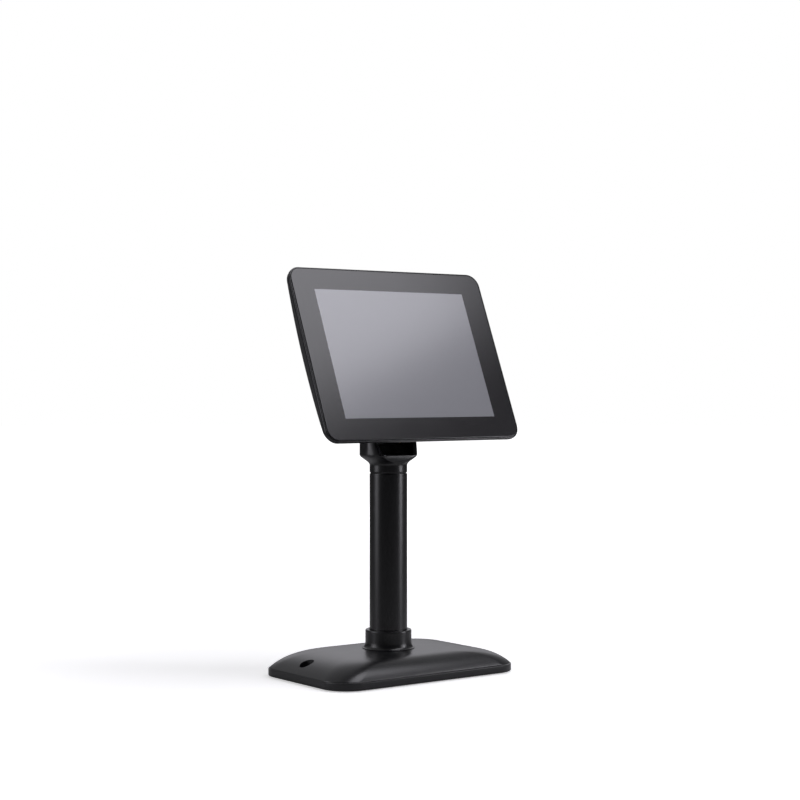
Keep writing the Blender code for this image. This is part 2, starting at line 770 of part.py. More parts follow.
def touch_glass(screen):
    inset = RIM_WALL + GAP
    outline = rounded_rectangle(PANEL_HALF_X - inset, PANEL_HALF_Y - inset, PANEL_CORNER - inset)
    plate("touch_glass", [outline], GLASS_BACK, 0, screen)


def glass_gasket(screen):
    outer = rounded_rectangle(LCD_HALF_X - MM, LCD_HALF_Y - MM, 2 * MM, steps=2)
    inner = rounded_rectangle(ACTIVE_HALF_X + MM, ACTIVE_HALF_Y + MM, 2 * MM, steps=2)
    plate("glass_gasket", [outer, inner], GASKET_BACK, GLASS_BACK - GAP, screen)


def lcd_panel(screen):
    outline = rounded_rectangle(LCD_HALF_X, LCD_HALF_Y, 1.5 * MM, steps=2)
    plate("lcd_panel", [outline], LCD_BACK, LCD_FRONT, screen)


def chassis(screen):
    """Steel plate behind the panel, with the pillars that the boards and the arm screw to."""
    outlines = [rounded_rectangle(CHASSIS_HALF_X, CHASSIS_HALF_Y, CHASSIS_CORNER, steps=3)]
    outlines += [circle(p, M3_RADIUS + GAP) for p in four_corners(CASE_SCREW_X, CASE_SCREW_Y)]
    outlines.append(rounded_rectangle(CABLE_HALF_X + 2 * MM, 2.5 * MM, MM, (0, CABLE_Y), 1))
    body = as_mesh(plate("chassis", outlines, CHASSIS_BACK, CHASSIS_FRONT, screen))
    pillar_back = -COVER_DEPTH + COVER_WALL + GAP
    seat = CHASSIS_BACK + MM / 2
    for i, x in enumerate((-ARM_SCREW_X, ARM_SCREW_X)):
        for k, y in enumerate((ARM_SCREW_LOW, ARM_SCREW_HIGH)):
            name = f"pillar_{i + 1}_{k + 1}"
            join(body, cylinder(name, PILLAR_RADIUS, pillar_back, seat, (x, y), screen, SMALL))
            hole = cylinder(f"{name}_hole", M4_RADIUS + GAP, -COVER_DEPTH, seat - MM, (x, y), screen, SMALL)
            cut(body, hole)
    standoffs = [(x, y) for x in (-STANDOFF_X, STANDOFF_X) for y in (STANDOFF_LOW, STANDOFF_HIGH)]
    board_front = MAIN_BOARD_BACK + BOARD_THICK + GAP
    for i, place in enumerate(standoffs):
        join(body, cylinder(f"standoff_{i + 1}", STANDOFF_RADIUS, board_front, seat, place, screen, SMALL))


def edge_depth(y):
    """Depth of the cover's edge, which bows out at half height on the two sides."""
    bow = max(0.0, 1 - (y / COVER_ARCH_REACH) ** 2)
    return COVER_EDGE_DEPTH + COVER_ARCH * bow


def cover_solid(name, wall, front, screen):
    """The cover's outer form, or its hollow when given the wall's thickness."""
    inset = COVER_INSET + wall
    splits = {"steps": COVER_CORNER_STEPS, "side_steps": COVER_SIDE_STEPS}
    half_x, half_y = PANEL_HALF_X - inset, PANEL_HALF_Y - inset
    outer = rounded_rectangle(half_x, half_y, PANEL_CORNER - inset, **splits)
    half_x, half_y = PLATEAU_HALF_X - wall / 2, PLATEAU_HALF_Y - wall / 2
    inner = rounded_rectangle(half_x, half_y, PLATEAU_CORNER, **splits)
    rings = [[(x, y, front) for x, y in outer]]
    for i in range(COVER_STEPS + 1):
        share = i / COVER_STEPS
        rise = 1 - (1 - share) ** 2
        row = []
        for (x, y), (flat_x, flat_y) in zip(outer, inner):
            edge = edge_depth(y)
            depth = edge + (COVER_DEPTH - edge) * rise - wall
            row.append((x + (flat_x - x) * share, y + (flat_y - y) * share, -depth))
        rings.append(row)
    return loft(name, rings, screen)


def rear_cover(screen):
    cover = cover_solid("rear_cover", 0, COVER_FRONT, screen)
    hollow = cover_solid("cover_hollow", COVER_WALL, COVER_FRONT + MM, screen)
    column_front = CHASSIS_BACK - GAP
    for i, place in enumerate(four_corners(CASE_SCREW_X, CASE_SCREW_Y)):
        column = cylinder(
            f"column_{i + 1}", CASE_COLUMN_RADIUS, -COVER_DEPTH, column_front, place, screen
        )
        cut(hollow, column)
    cut(cover, hollow)
    for i, place in enumerate(four_corners(CASE_SCREW_X, CASE_SCREW_Y)):
        well = cylinder(f"case_well_{i + 1}", CASE_WELL_RADIUS, -COVER_DEPTH, CASE_SEAT, place, screen)
        hole = cylinder(f"case_hole_{i + 1}", M3_RADIUS + GAP, -COVER_DEPTH, 0, place, screen, SMALL)
        cut(cover, well, hole)
    for i in range(VENT_COUNT):
        x = (i - (VENT_COUNT - 1) / 2) * VENT_PITCH
        low = (x - VENT_WIDTH / 2, VENT_LOW, -COVER_DEPTH - MM)
        high = (x + VENT_WIDTH / 2, VENT_HIGH, COVER_FRONT)
        cut(cover, box(f"vent_{i + 1}", low, high, screen))
    deep = -COVER_DEPTH + COVER_WALL + MM
    far = -COVER_DEPTH - MM
    for i, x in enumerate((-ARM_SCREW_X, ARM_SCREW_X)):
        for k, y in enumerate((ARM_SCREW_LOW, ARM_SCREW_HIGH)):
            name = f"arm_hole_{i + 1}_{k + 1}"
            cut(cover, cylinder(name, M4_RADIUS + GAP, far, deep, (x, y), screen, SMALL))
    for name, y in key_places():
        cut(cover, cylinder(f"{name}_hole", KEY_RADIUS + GAP, far, deep, (KEY_X, y), screen))
    for name, y, half_x, half_y in socket_sizes():
        low = (IO_BOARD_X - half_x - GAP, y - half_y - GAP, far)
        high = (IO_BOARD_X + half_x + GAP, y + half_y + GAP, deep)
        cut(cover, box(f"{name}_window", low, high, screen))


def case_screws(screen):
    seat = CASE_SEAT - GAP
    length = LCD_BACK - MM / 2 - seat
    for i, (x, y) in enumerate(four_corners(CASE_SCREW_X, CASE_SCREW_Y)):
        name = f"case_screw_{i + 1}"
        machine_screw(name, M3_RADIUS, CASE_SCREW_HEAD_HIGH, length, (x, y, seat), screen)


def main_board(screen):
    front = MAIN_BOARD_BACK + BOARD_THICK
    low = (-MAIN_BOARD_HALF_X, MAIN_BOARD_LOW, MAIN_BOARD_BACK)
    board = box("main_board", low, (MAIN_BOARD_HALF_X, MAIN_BOARD_HIGH, front), screen)
    chips = (
        ("scaler_chip", -12 * MM, 30 * MM, 9 * MM, 1.4 * MM),
        ("memory_chip", 14 * MM, 34 * MM, 6 * MM, 1.1 * MM),
        ("power_coil", 40 * MM, 22 * MM, 5 * MM, 4.0 * MM),
        ("backlight_coil", -38 * MM, 40 * MM, 5 * MM, 4.0 * MM),
    )
    back = MAIN_BOARD_BACK
    for name, x, y, half, high in chips:
        corner = (x - half, y - half, back - high)
        join(board, box(name, corner, (x + half, y + half, back + MM / 2), screen))


def panel_cable(screen):
    """Flat ribbon from the panel, through the chassis, to the main board's edge."""
    front = LCD_BACK - GAP
    back = MAIN_BOARD_BACK + BOARD_THICK / 2
    end = MAIN_BOARD_HIGH + GAP
    middle = (CABLE_Y - CABLE_BEND, back + CABLE_BEND)
    outline = [(CABLE_Y + CABLE_THICK, front), (CABLE_Y, front)]
    outline += arc(middle, CABLE_BEND, 0, -math.pi / 2, 5)
    outline += [(end, back), (end, back - CABLE_THICK)]
    outline += arc(middle, CABLE_BEND + CABLE_THICK, -math.pi / 2, 0, 5)
    extruded_across("panel_cable", outline, CABLE_HALF_X, screen)


def socket_sizes():
    """Name, height on the board, and half width and half height of each socket's shell."""
    return (
        ("video_socket", VIDEO_Y, 7.6 * MM, 3.0 * MM),
        ("data_socket", DATA_Y, 6.6 * MM, 3.6 * MM),
        ("power_socket", POWER_JACK_Y, 4.6 * MM, 5.5 * MM),
    )


def io_board(screen):
    back = MAIN_BOARD_BACK
    low = (IO_BOARD_X - IO_BOARD_HALF_X, IO_BOARD_LOW, back)
    high = (IO_BOARD_X + IO_BOARD_HALF_X, IO_BOARD_HIGH, back + BOARD_THICK)
    box("io_board", low, high, screen)


def sockets(screen):
    """Each socket is a shell open at the back of the display, with its contact tongue or pin."""
    seat = MAIN_BOARD_BACK - GAP
    floor = SOCKET_FACE + SOCKET_DEEP
    wall = SOCKET_WALL
    for name, y, half_x, half_y in socket_sizes():
        low = (IO_BOARD_X - half_x, y - half_y, SOCKET_FACE)
        high = (IO_BOARD_X + half_x, y + half_y, seat)
        body = box(name, low, high, screen)
        if name == "power_socket":
            cut(body, cylinder("jack_bore", JACK_BORE, SOCKET_FACE - MM, floor, (IO_BOARD_X, y), screen))
            tip = SOCKET_FACE + MM
            pin = cylinder("jack_pin", JACK_PIN_RADIUS, tip, floor + MM, (IO_BOARD_X, y), screen, SMALL)
            join(body, pin)
            continue
        low = (IO_BOARD_X - half_x + wall, y - half_y + wall, SOCKET_FACE - MM)
        high = (IO_BOARD_X + half_x - wall, y + half_y - wall, floor)
        cut(body, box(f"{name}_mouth", low, high, screen))
        low = (IO_BOARD_X - half_x / 2, y - TONGUE_THICK / 2, SOCKET_FACE + MM)
        high = (IO_BOARD_X + half_x / 2, y + TONGUE_THICK / 2, floor + MM)
        join(body, box(f"{name}_tongue", low, high, screen))


def key_places():
    """Name and height of each key, from the lowest up."""
    names = ("menu_key", "minus_key", "plus_key")
    places = [(name, KEY_LOWEST_Y + i * KEY_PITCH) for i, name in enumerate(names)]
    return [*places, ("power_key", POWER_KEY_Y)]


def keys(screen):
    inner = -COVER_DEPTH + COVER_WALL + GAP
    for name, y in key_places():
        profile = [
            (0, inner + KEY_FLANGE_HIGH),
            (KEY_FLANGE_RADIUS, inner + KEY_FLANGE_HIGH),
            (KEY_FLANGE_RADIUS, inner),
            (KEY_RADIUS, inner),
            (KEY_RADIUS, KEY_FACE + 0.4 * MM),
            (KEY_RADIUS - 0.4 * MM, KEY_FACE),
            (0, KEY_FACE),
        ]
        turned(name, profile, screen, (KEY_X, y, 0), SMALL)


def key_board(screen):
    back = KEY_BOARD_BACK
    low = (KEY_X - KEY_BOARD_HALF_X, KEY_LOWEST_Y - KEY_BOARD_MARGIN, back)
    high = (KEY_X + KEY_BOARD_HALF_X, POWER_KEY_Y + KEY_BOARD_MARGIN, back + BOARD_THICK)
    board = box("key_board", low, high, screen)
    half = KEY_SWITCH_HALF
    inner = -COVER_DEPTH + COVER_WALL + GAP
    top = inner + KEY_FLANGE_HIGH + KEY_TRAVEL + GAP
    for name, y in key_places():
        low = (KEY_X - half, y - half, top)
        high = (KEY_X + half, y + half, back + MM / 2)
        join(board, box(f"{name}_switch", low, high, screen))


# Colours, roughness and metallic value of each finish

FINISH_VALUES = {
    "satin_black": ((0.018, 0.018, 0.020), 0.38, 0.0),
    "painted_base": ((0.022, 0.022, 0.025), 0.34, 0.0),
    "moulded_black": ((0.020, 0.020, 0.021), 0.50, 0.0),
    "gloss_rim": ((0.030, 0.030, 0.033), 0.22, 0.0),
    "dark_glass": ((0.016, 0.016, 0.019), 0.12, 0.0),
    "panel_metal": ((0.42, 0.43, 0.46), 0.35, 0.8),
    "steel": ((0.55, 0.56, 0.57), 0.35, 1.0),
    "zinc": ((0.62, 0.62, 0.60), 0.40, 1.0),
    "brass": ((0.72, 0.55, 0.27), 0.35, 1.0),
    "rubber": ((0.025, 0.025, 0.025), 0.85, 0.0),
    "nylon": ((0.014, 0.014, 0.014), 0.50, 0.0),
    "foam": ((0.04, 0.04, 0.04), 0.95, 0.0),
    "board_green": ((0.02, 0.12, 0.06), 0.45, 0.0),
    "ribbon": ((0.45, 0.36, 0.14), 0.40, 0.0),
}

LOOKS = {
    "base_cover": "painted_base",
    "base_weight": "zinc",
    "bottom_plate": "steel",
    "pole_collar": "satin_black",
    "pole_tube": "satin_black",
    "pole_anchor": "steel",
    "pole_bolt": "steel",
    "swivel_bush": "nylon",
    "swivel_washer": "nylon",
    "swivel_bolt": "steel",
    "swivel_spring_washer": "steel",
    "swivel_nut": "steel",
    "head_cup": "satin_black",
    "tilt_bolt": "steel",
    "tilt_washer_left": "brass",
    "tilt_washer_right": "brass",
    "tilt_cap_left": "moulded_black",
    "tilt_cap_right": "moulded_black",
    "tilt_nut": "steel",
    "hinge_arm": "satin_black",
    "display_rim": "gloss_rim",
    "touch_glass": "dark_glass",
    "glass_gasket": "foam",
    "lcd_panel": "panel_metal",
    "chassis": "zinc",
    "rear_cover": "moulded_black",
    "main_board": "board_green",
    "io_board": "board_green",
    "key_board": "board_green",
    "panel_cable": "ribbon",
    "video_socket": "steel",
    "data_socket": "steel",
    "power_socket": "moulded_black",
    "menu_key": "moulded_black",
    "minus_key": "moulded_black",
    "plus_key": "moulded_black",
    "power_key": "moulded_black",
}
for number in range(1, 5):
    LOOKS[f"foot_{number}"] = "rubber"
    for screw_kind in ("base_screw", "arm_screw", "case_screw"):
        LOOKS[f"{screw_kind}_{number}"] = "steel"

clear_scene()
PIECES = make_collection("touchscreen_terminal")
CUTTERS = make_collection("cutters")
FINISHES = {name: finish(name, *values) for name, values in FINISH_VALUES.items()}

base_cover()
base_weight()
bottom_plate()
feet()
base_screws()
pole_collar()
pole_tube()
pole_anchor()
pole_bolt()
swivel_bearing()

swivel_axis = add("swivel_axis", None, None, (0, POLE_Y, 0))
swivel_bolt(swivel_axis)
swivel_fastening(swivel_axis)
head_cup(swivel_axis)
tilt_bolt(swivel_axis)
tilt_fastening(swivel_axis)

tilt_axis = add("tilt_axis", None, swivel_axis, (0, PIVOT_Y - POLE_Y, PIVOT_Z))
tilt_axis.rotation_euler = (math.pi / 2 - TILT, 0, 0)
screen_frame = add("screen_frame", None, tilt_axis, (0, SCREEN_ABOVE_PIVOT, SCREEN_BEFORE_PIVOT))
hinge_arm(screen_frame)
display_rim(screen_frame)
touch_glass(screen_frame)
glass_gasket(screen_frame)
lcd_panel(screen_frame)
chassis(screen_frame)
rear_cover(screen_frame)
case_screws(screen_frame)
main_board(screen_frame)
panel_cable(screen_frame)
io_board(screen_frame)
sockets(screen_frame)
keys(screen_frame)
key_board(screen_frame)
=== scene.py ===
"""Looks of the pole-mounted touchscreen terminal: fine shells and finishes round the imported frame.

Metres, +Z up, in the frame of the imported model. Pieces of the display are shaped in the screen's
own axes, across, up and out of the glass, and then laid into the row frame.
"""

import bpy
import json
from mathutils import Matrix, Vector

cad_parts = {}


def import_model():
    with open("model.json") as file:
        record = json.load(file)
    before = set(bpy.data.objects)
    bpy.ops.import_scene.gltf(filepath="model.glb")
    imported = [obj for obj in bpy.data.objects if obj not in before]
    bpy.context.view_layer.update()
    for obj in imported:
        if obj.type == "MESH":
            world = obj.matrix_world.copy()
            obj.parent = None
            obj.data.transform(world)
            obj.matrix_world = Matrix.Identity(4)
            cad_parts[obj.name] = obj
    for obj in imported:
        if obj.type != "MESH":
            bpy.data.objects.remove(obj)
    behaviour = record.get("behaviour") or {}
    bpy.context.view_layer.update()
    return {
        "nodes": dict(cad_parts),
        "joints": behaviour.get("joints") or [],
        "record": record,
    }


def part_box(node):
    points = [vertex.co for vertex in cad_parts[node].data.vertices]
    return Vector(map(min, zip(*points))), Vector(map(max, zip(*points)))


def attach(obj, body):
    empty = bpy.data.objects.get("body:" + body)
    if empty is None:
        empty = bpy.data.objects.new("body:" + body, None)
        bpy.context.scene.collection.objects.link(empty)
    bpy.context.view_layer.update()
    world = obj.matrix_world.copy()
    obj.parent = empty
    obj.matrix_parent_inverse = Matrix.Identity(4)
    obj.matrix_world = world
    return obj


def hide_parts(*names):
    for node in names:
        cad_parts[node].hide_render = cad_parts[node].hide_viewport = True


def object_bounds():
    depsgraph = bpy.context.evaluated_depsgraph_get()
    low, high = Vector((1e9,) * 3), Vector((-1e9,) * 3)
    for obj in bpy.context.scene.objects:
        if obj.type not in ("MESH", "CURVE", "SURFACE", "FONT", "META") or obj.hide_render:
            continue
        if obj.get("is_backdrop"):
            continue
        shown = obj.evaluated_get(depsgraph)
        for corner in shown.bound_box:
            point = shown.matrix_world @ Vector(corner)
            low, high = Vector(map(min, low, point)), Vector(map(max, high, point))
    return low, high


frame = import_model()

import json
import math

import bmesh
import bpy
from mathutils import Matrix, Vector

MM = 0.001
ROUND = 96  # sides of a turned shell
PIN = 32  # sides of a screw or a key

JOINTS = {joint["name"]: joint for joint in frame["joints"]}
NODE_SLOT = {part["node"]: part["material_slot"] for part in frame["record"]["subparts"]}
NODE_BODY = {
    node: body for body, nodes in frame["record"]["behaviour"]["bodies"].items() for node in nodes
}

# The screen's own axes, and the middle of the glass's front face
ACROSS = Vector((1, 0, 0))
OUT = Vector(JOINTS["menu_key_press"]["axis"]).normalized()
UP = OUT.cross(ACROSS)
SCREEN_TURN = Matrix((ACROSS, UP, OUT)).transposed().to_4x4()


def span(node, turn=None):
    """Lowest and highest corner of a CAD node along the axes of a turned frame."""
    back = (turn or Matrix.Identity(4)).inverted()
    points = [back @ vertex.co for vertex in frame["nodes"][node].data.vertices]
    low = Vector([min(p[i] for p in points) for i in range(3)])
    high = Vector([max(p[i] for p in points) for i in range(3)])
    return low, high


def half_and_middle(low, high):
    return (high - low) / 2, (high + low) / 2


GLASS_HALF, GLASS_MIDDLE = half_and_middle(*span("touch_glass", SCREEN_TURN))
GLASS_FACE = GLASS_MIDDLE + Vector((0, 0, GLASS_HALF.z))
SCREEN = SCREEN_TURN @ Matrix.Translation(GLASS_FACE)
PIVOT = Vector(JOINTS["screen_tilt"]["pos_m"])
POLE = Vector(JOINTS["head_swivel"]["pos_m"])
POLE_AXIS = Matrix.Translation((POLE.x, POLE.y, 0))
HINGE = SCREEN.inverted() @ PIVOT


# Outlines and mesh tools


def arc(centre, radius, start, end, steps):
    """Points on an arc, its ends included."""
    points = []
    for i in range(steps + 1):
        angle = start + (end - start) * i / steps
        points.append((centre[0] + radius * math.cos(angle), centre[1] + radius * math.sin(angle)))
    return points


def circle(radius, sides, centre=(0, 0)):
    return arc(centre, radius, 0, 2 * math.pi, sides)[:-1]


def between(start, end, pieces):
    """The inner points that split a straight side into equal pieces."""
    return [
        tuple(s + (e - s) * i / pieces for s, e in zip(start, end)) for i in range(1, pieces)
    ]


def rounded_rectangle(half_x, half_y, corner, centre=(0, 0), steps=12, splits=(1, 1)):
    """Corner arcs joined by straight sides, with the long and short sides split as told."""
    corner = min(corner, half_x, half_y)
    middles = (
        (half_x - corner, half_y - corner),
        (corner - half_x, half_y - corner),
        (corner - half_x, corner - half_y),
        (half_x - corner, corner - half_y),
    )
    points = []
    for i, (x, y) in enumerate(middles):
        start = i * math.pi / 2
        bend = arc((centre[0] + x, centre[1] + y), corner, start, start + math.pi / 2, steps)
        if points:
            points += between(points[-1], bend[0], splits[(i + 1) % 2])
        points += bend
    return points + between(points[-1], points[0], splits[1])


def at_height(outline, z):
    return [(x, y, z) for x, y in outline]


def add_rings(work, rings, wrap=False, finish=0):
    """Skins rings of equal count. The ends are capped, or joined to each other when wrapped."""
    rows = [[work.verts.new(point) for point in ring] for ring in rings]
    pairs = list(zip(rows, rows[1:]))
    if wrap:
        pairs.append((rows[-1], rows[0]))
    for row, after in pairs:
        for i in range(len(row)):
            k = (i + 1) % len(row)
            work.faces.new((row[i], row[k], after[k], after[i]))
    if not wrap:
        work.faces.new(rows[0])
        work.faces.new(rows[-1]).material_index = finish


def shaped(name, build, matrix=None, crease=32):
    """An object whose mesh a function fills, laid into the row frame and shaded smooth."""
    work = bmesh.new()
    build(work)
    bmesh.ops.recalc_face_normals(work, faces=work.faces)
    mesh = bpy.data.meshes.new(name)
    work.to_mesh(mesh)
    work.free()
    if matrix is not None:
        mesh.transform(matrix)
    mesh.shade_smooth()
    mesh.set_sharp_from_angle(angle=math.radians(crease))
    obj = bpy.data.objects.new(name, mesh)
    bpy.context.scene.collection.objects.link(obj)
    return obj


def lofted(name, rings, matrix=None, wrap=False, crease=32):
    return shaped(name, lambda work: add_rings(work, rings, wrap), matrix, crease)


def braced(points, margin=0.8 * MM):
    """The profile with a point more near both ends of every long stretch."""
    made = [points[0]]
    for start, end in zip(points, points[1:]):
        length = math.dist(start, end)
        if length > 4 * margin:
            for share in (margin / length, 1 - margin / length):
                made.append(tuple(s + (e - s) * share for s, e in zip(start, end)))
        made.append(end)
    return made


def turned(name, profile, matrix=None, sides=ROUND, hollow=False, crease=32):
    """A profile of (radius, height) points turned about Z. A hollow one closes on itself."""
    points = braced([*profile, profile[0]])[:-1] if hollow else braced(profile)
    rings = [at_height(circle(radius, sides), height) for radius, height in points]
    return lofted(name, rings, matrix, hollow, crease)


def prisms(name, outlines, low, high, matrix=None):
    """One object of several upright blocks, each with its own outline."""

    def build(work):
        for outline in outlines:
            add_rings(work, [at_height(outline, low), at_height(outline, high)])

    return shaped(name, build, matrix)


def side_block(name, outline, half_x, matrix):
    """A (Y, Z) outline carried across by half_x each way."""
    rings = [[(x, y, z) for y, z in outline] for x in (-half_x, half_x)]
    return lofted(name, rings, matrix)


def rod_across(name, radius, low, high, place, matrix, sides=ROUND):
    """A disc or rod along X through the given (Y, Z)."""
    rings = [[(x, y, z) for y, z in circle(radius, sides, place)] for x in (low, high)]
    return lofted(name, rings, matrix)


def combine(obj, other, operation):
    modifier = obj.modifiers.new(other.name, "BOOLEAN")
    modifier.operation = operation
    modifier.solver = "EXACT"
    modifier.object = other


def settle(obj, tools=(), soften=0.0, crease=32):
    """Applies the cuts, rounds the sharp edges by soften, and removes the tools."""
    if soften:
        bevel = obj.modifiers.new("soften", "BEVEL")
        bevel.width = soften
        bevel.segments = 2
        bevel.limit_method = "ANGLE"
        bevel.angle_limit = math.radians(38)
        bevel.use_clamp_overlap = True
        bevel.harden_normals = False
    bpy.context.view_layer.update()
    graph = bpy.context.evaluated_depsgraph_get()
    mesh = bpy.data.meshes.new_from_object(obj.evaluated_get(graph))
    mesh.name = obj.name
    obj.modifiers.clear()
    obj.data = mesh
    mesh.shade_smooth()
    mesh.set_sharp_from_angle(angle=math.radians(crease))
    for tool in tools:
        bpy.data.objects.remove(tool)
    return obj


def carve(obj, cutters, soften=0.0, crease=32):
    for cutter in cutters:
        combine(obj, cutter, "DIFFERENCE")
    return settle(obj, cutters, soften, crease)


def stands_for(obj, node, look):
    """The piece takes the node's place and body, and the finish it is given."""
    obj.data.materials.append(look)
    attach(obj, NODE_BODY[node])
    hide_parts(node)


def extra(obj, like, look):
    """A small detail that rides with a node's body, in the finish it is given."""
    obj.data.materials.append(look)
    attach(obj, NODE_BODY[like])


# Shader groups


def new_group(name, inputs, outputs):
    """An empty shader group with float inputs and the named outputs, and its two end nodes."""
    tree = bpy.data.node_groups.new(name, "ShaderNodeTree")
    for socket, default in inputs.items():
        made = tree.interface.new_socket(name=socket, in_out="INPUT", socket_type="NodeSocketFloat")
        made.default_value = default
    for socket in outputs:
        tree.interface.new_socket(name=socket, in_out="OUTPUT", socket_type="NodeSocketFloat")
    return tree, tree.nodes.new("NodeGroupInput"), tree.nodes.new("NodeGroupOutput")


def wire(tree, start, end):
    tree.links.new(start, end)


def math_node(tree, operation, first, second=None, clamp=False):
    """A Math node fed by sockets or numbers. Returns its output."""
    made = tree.nodes.new("ShaderNodeMath")
    made.operation = operation
    made.use_clamp = clamp
    for socket, value in zip(made.inputs, (first, second)):
        if value is None:
            continue
        if isinstance(value, (int, float)):
            socket.default_value = value
        else:
            wire(tree, value, socket)
    return made.outputs[0]


def noise(tree, place, scale, detail=4.0, roughness=0.5):
    made = tree.nodes.new("ShaderNodeTexNoise")
    made.inputs["Detail"].default_value = detail
    made.inputs["Roughness"].default_value = roughness
    if isinstance(scale, (int, float)):
        made.inputs["Scale"].default_value = scale
    else:
        wire(tree, scale, made.inputs["Scale"])
    wire(tree, place, made.inputs["Vector"])
    return made.outputs["Fac"]


def grain_group():
    """Fine pitted skin of paint or moulding: Height for bump, Tone for slow colour change."""
    tree, start, end = new_group("fine_grain", {"Scale": 900.0, "Patch": 22.0}, ("Height", "Tone"))
    place = tree.nodes.new("ShaderNodeTexCoord").outputs["Object"]
    pits = tree.nodes.new("ShaderNodeTexVoronoi")
    pits.feature = "SMOOTH_F1"
    wire(tree, start.outputs["Scale"], pits.inputs["Scale"])
    wire(tree, place, pits.inputs["Vector"])
    speck = noise(tree, place, start.outputs["Scale"], 3.0, 0.6)
    speckled = math_node(tree, "MULTIPLY", speck, 0.6)
    height = math_node(tree, "ADD", pits.outputs["Distance"], speckled)
    wire(tree, height, end.inputs["Height"])
    wire(tree, noise(tree, place, start.outputs["Patch"], 5.0, 0.6), end.inputs["Tone"])
    return tree


def brushed_group():
    """Streaks drawn out along X: Height for bump, Tone for the light and dark of each streak."""
    inputs = {"Scale": 260.0, "Stretch": 0.03}
    tree, start, end = new_group("brushed_streaks", inputs, ("Height", "Tone"))
    place = tree.nodes.new("ShaderNodeTexCoord").outputs["Object"]
    squeeze = tree.nodes.new("ShaderNodeCombineXYZ")
    wire(tree, start.outputs["Stretch"], squeeze.inputs["X"])
    squeeze.inputs["Y"].default_value = 1.0
    squeeze.inputs["Z"].default_value = 1.0
    stretched = tree.nodes.new("ShaderNodeVectorMath")
    stretched.operation = "MULTIPLY"
    wire(tree, place, stretched.inputs[0])
    wire(tree, squeeze.outputs[0], stretched.inputs[1])
    streak = noise(tree, stretched.outputs[0], start.outputs["Scale"], 6.0, 0.65)
    wire(tree, streak, end.inputs["Height"])
    wire(tree, streak, end.inputs["Tone"])
    return tree


def edge_group():
    """Where an edge stands proud: Mask for a lighter edge colour, partly rubbed wear and partly a
    painted highlight of the edge catching light.
    """
    inputs = {"Start": 0.545, "Width": 0.07, "Breakup": 60.0}
    tree, start, end = new_group("rubbed_and_highlit_edge", inputs, ("Mask",))
    point = tree.nodes.new("ShaderNodeNewGeometry").outputs["Pointiness"]
    above = math_node(tree, "SUBTRACT", point, start.outputs["Start"])
    mask = math_node(tree, "DIVIDE", above, start.outputs["Width"], clamp=True)
    place = tree.nodes.new("ShaderNodeTexCoord").outputs["Object"]
    patchy = noise(tree, place, start.outputs["Breakup"], 3.0, 0.6)
    wire(tree, math_node(tree, "MULTIPLY", mask, patchy), end.inputs["Mask"])
    return tree


def dust_group():
    """Fine dust lying on what faces up: Mask."""
    tree, start, end = new_group("settled_dust", {"Scale": 300.0, "Amount": 0.3}, ("Mask",))
    split = tree.nodes.new("ShaderNodeSeparateXYZ")
    wire(tree, tree.nodes.new("ShaderNodeNewGeometry").outputs["Normal"], split.inputs[0])
    tipped = math_node(tree, "SUBTRACT", split.outputs["Z"], 0.5)
    level = math_node(tree, "MULTIPLY", tipped, 2.0, True)
    place = tree.nodes.new("ShaderNodeTexCoord").outputs["Object"]
    speck = noise(tree, place, start.outputs["Scale"], 2.0, 0.7)
    few = math_node(tree, "MULTIPLY", math_node(tree, "SUBTRACT", speck, 0.55), 6.0, True)
    drift = noise(tree, place, 14.0, 4.0, 0.55)
    thin = math_node(tree, "MULTIPLY", few, drift)
    amount = math_node(tree, "MULTIPLY", thin, start.outputs["Amount"])
    wire(tree, math_node(tree, "MULTIPLY", level, amount), end.inputs["Mask"])
    return tree


GRAIN = grain_group()
BRUSHED = brushed_group()
EDGE = edge_group()
DUST = dust_group()


# Finishes


def place_group(tree, group, **values):
    made = tree.nodes.new("ShaderNodeGroup")
    made.node_tree = group
    for name, value in values.items():
        made.inputs[name].default_value = value
    return made


def mix_colour(tree, share, first, second):
    """Mixes two colours, each a socket or a plain (r, g, b)."""
    made = tree.nodes.new("ShaderNodeMix")
    made.data_type = "RGBA"
    wire(tree, share, made.inputs["Factor"])
    for socket, value in ((made.inputs[6], first), (made.inputs[7], second)):
        if isinstance(value, tuple):
            socket.default_value = (*value, 1.0)
        else:
            wire(tree, value, socket)
    return made.outputs[2]


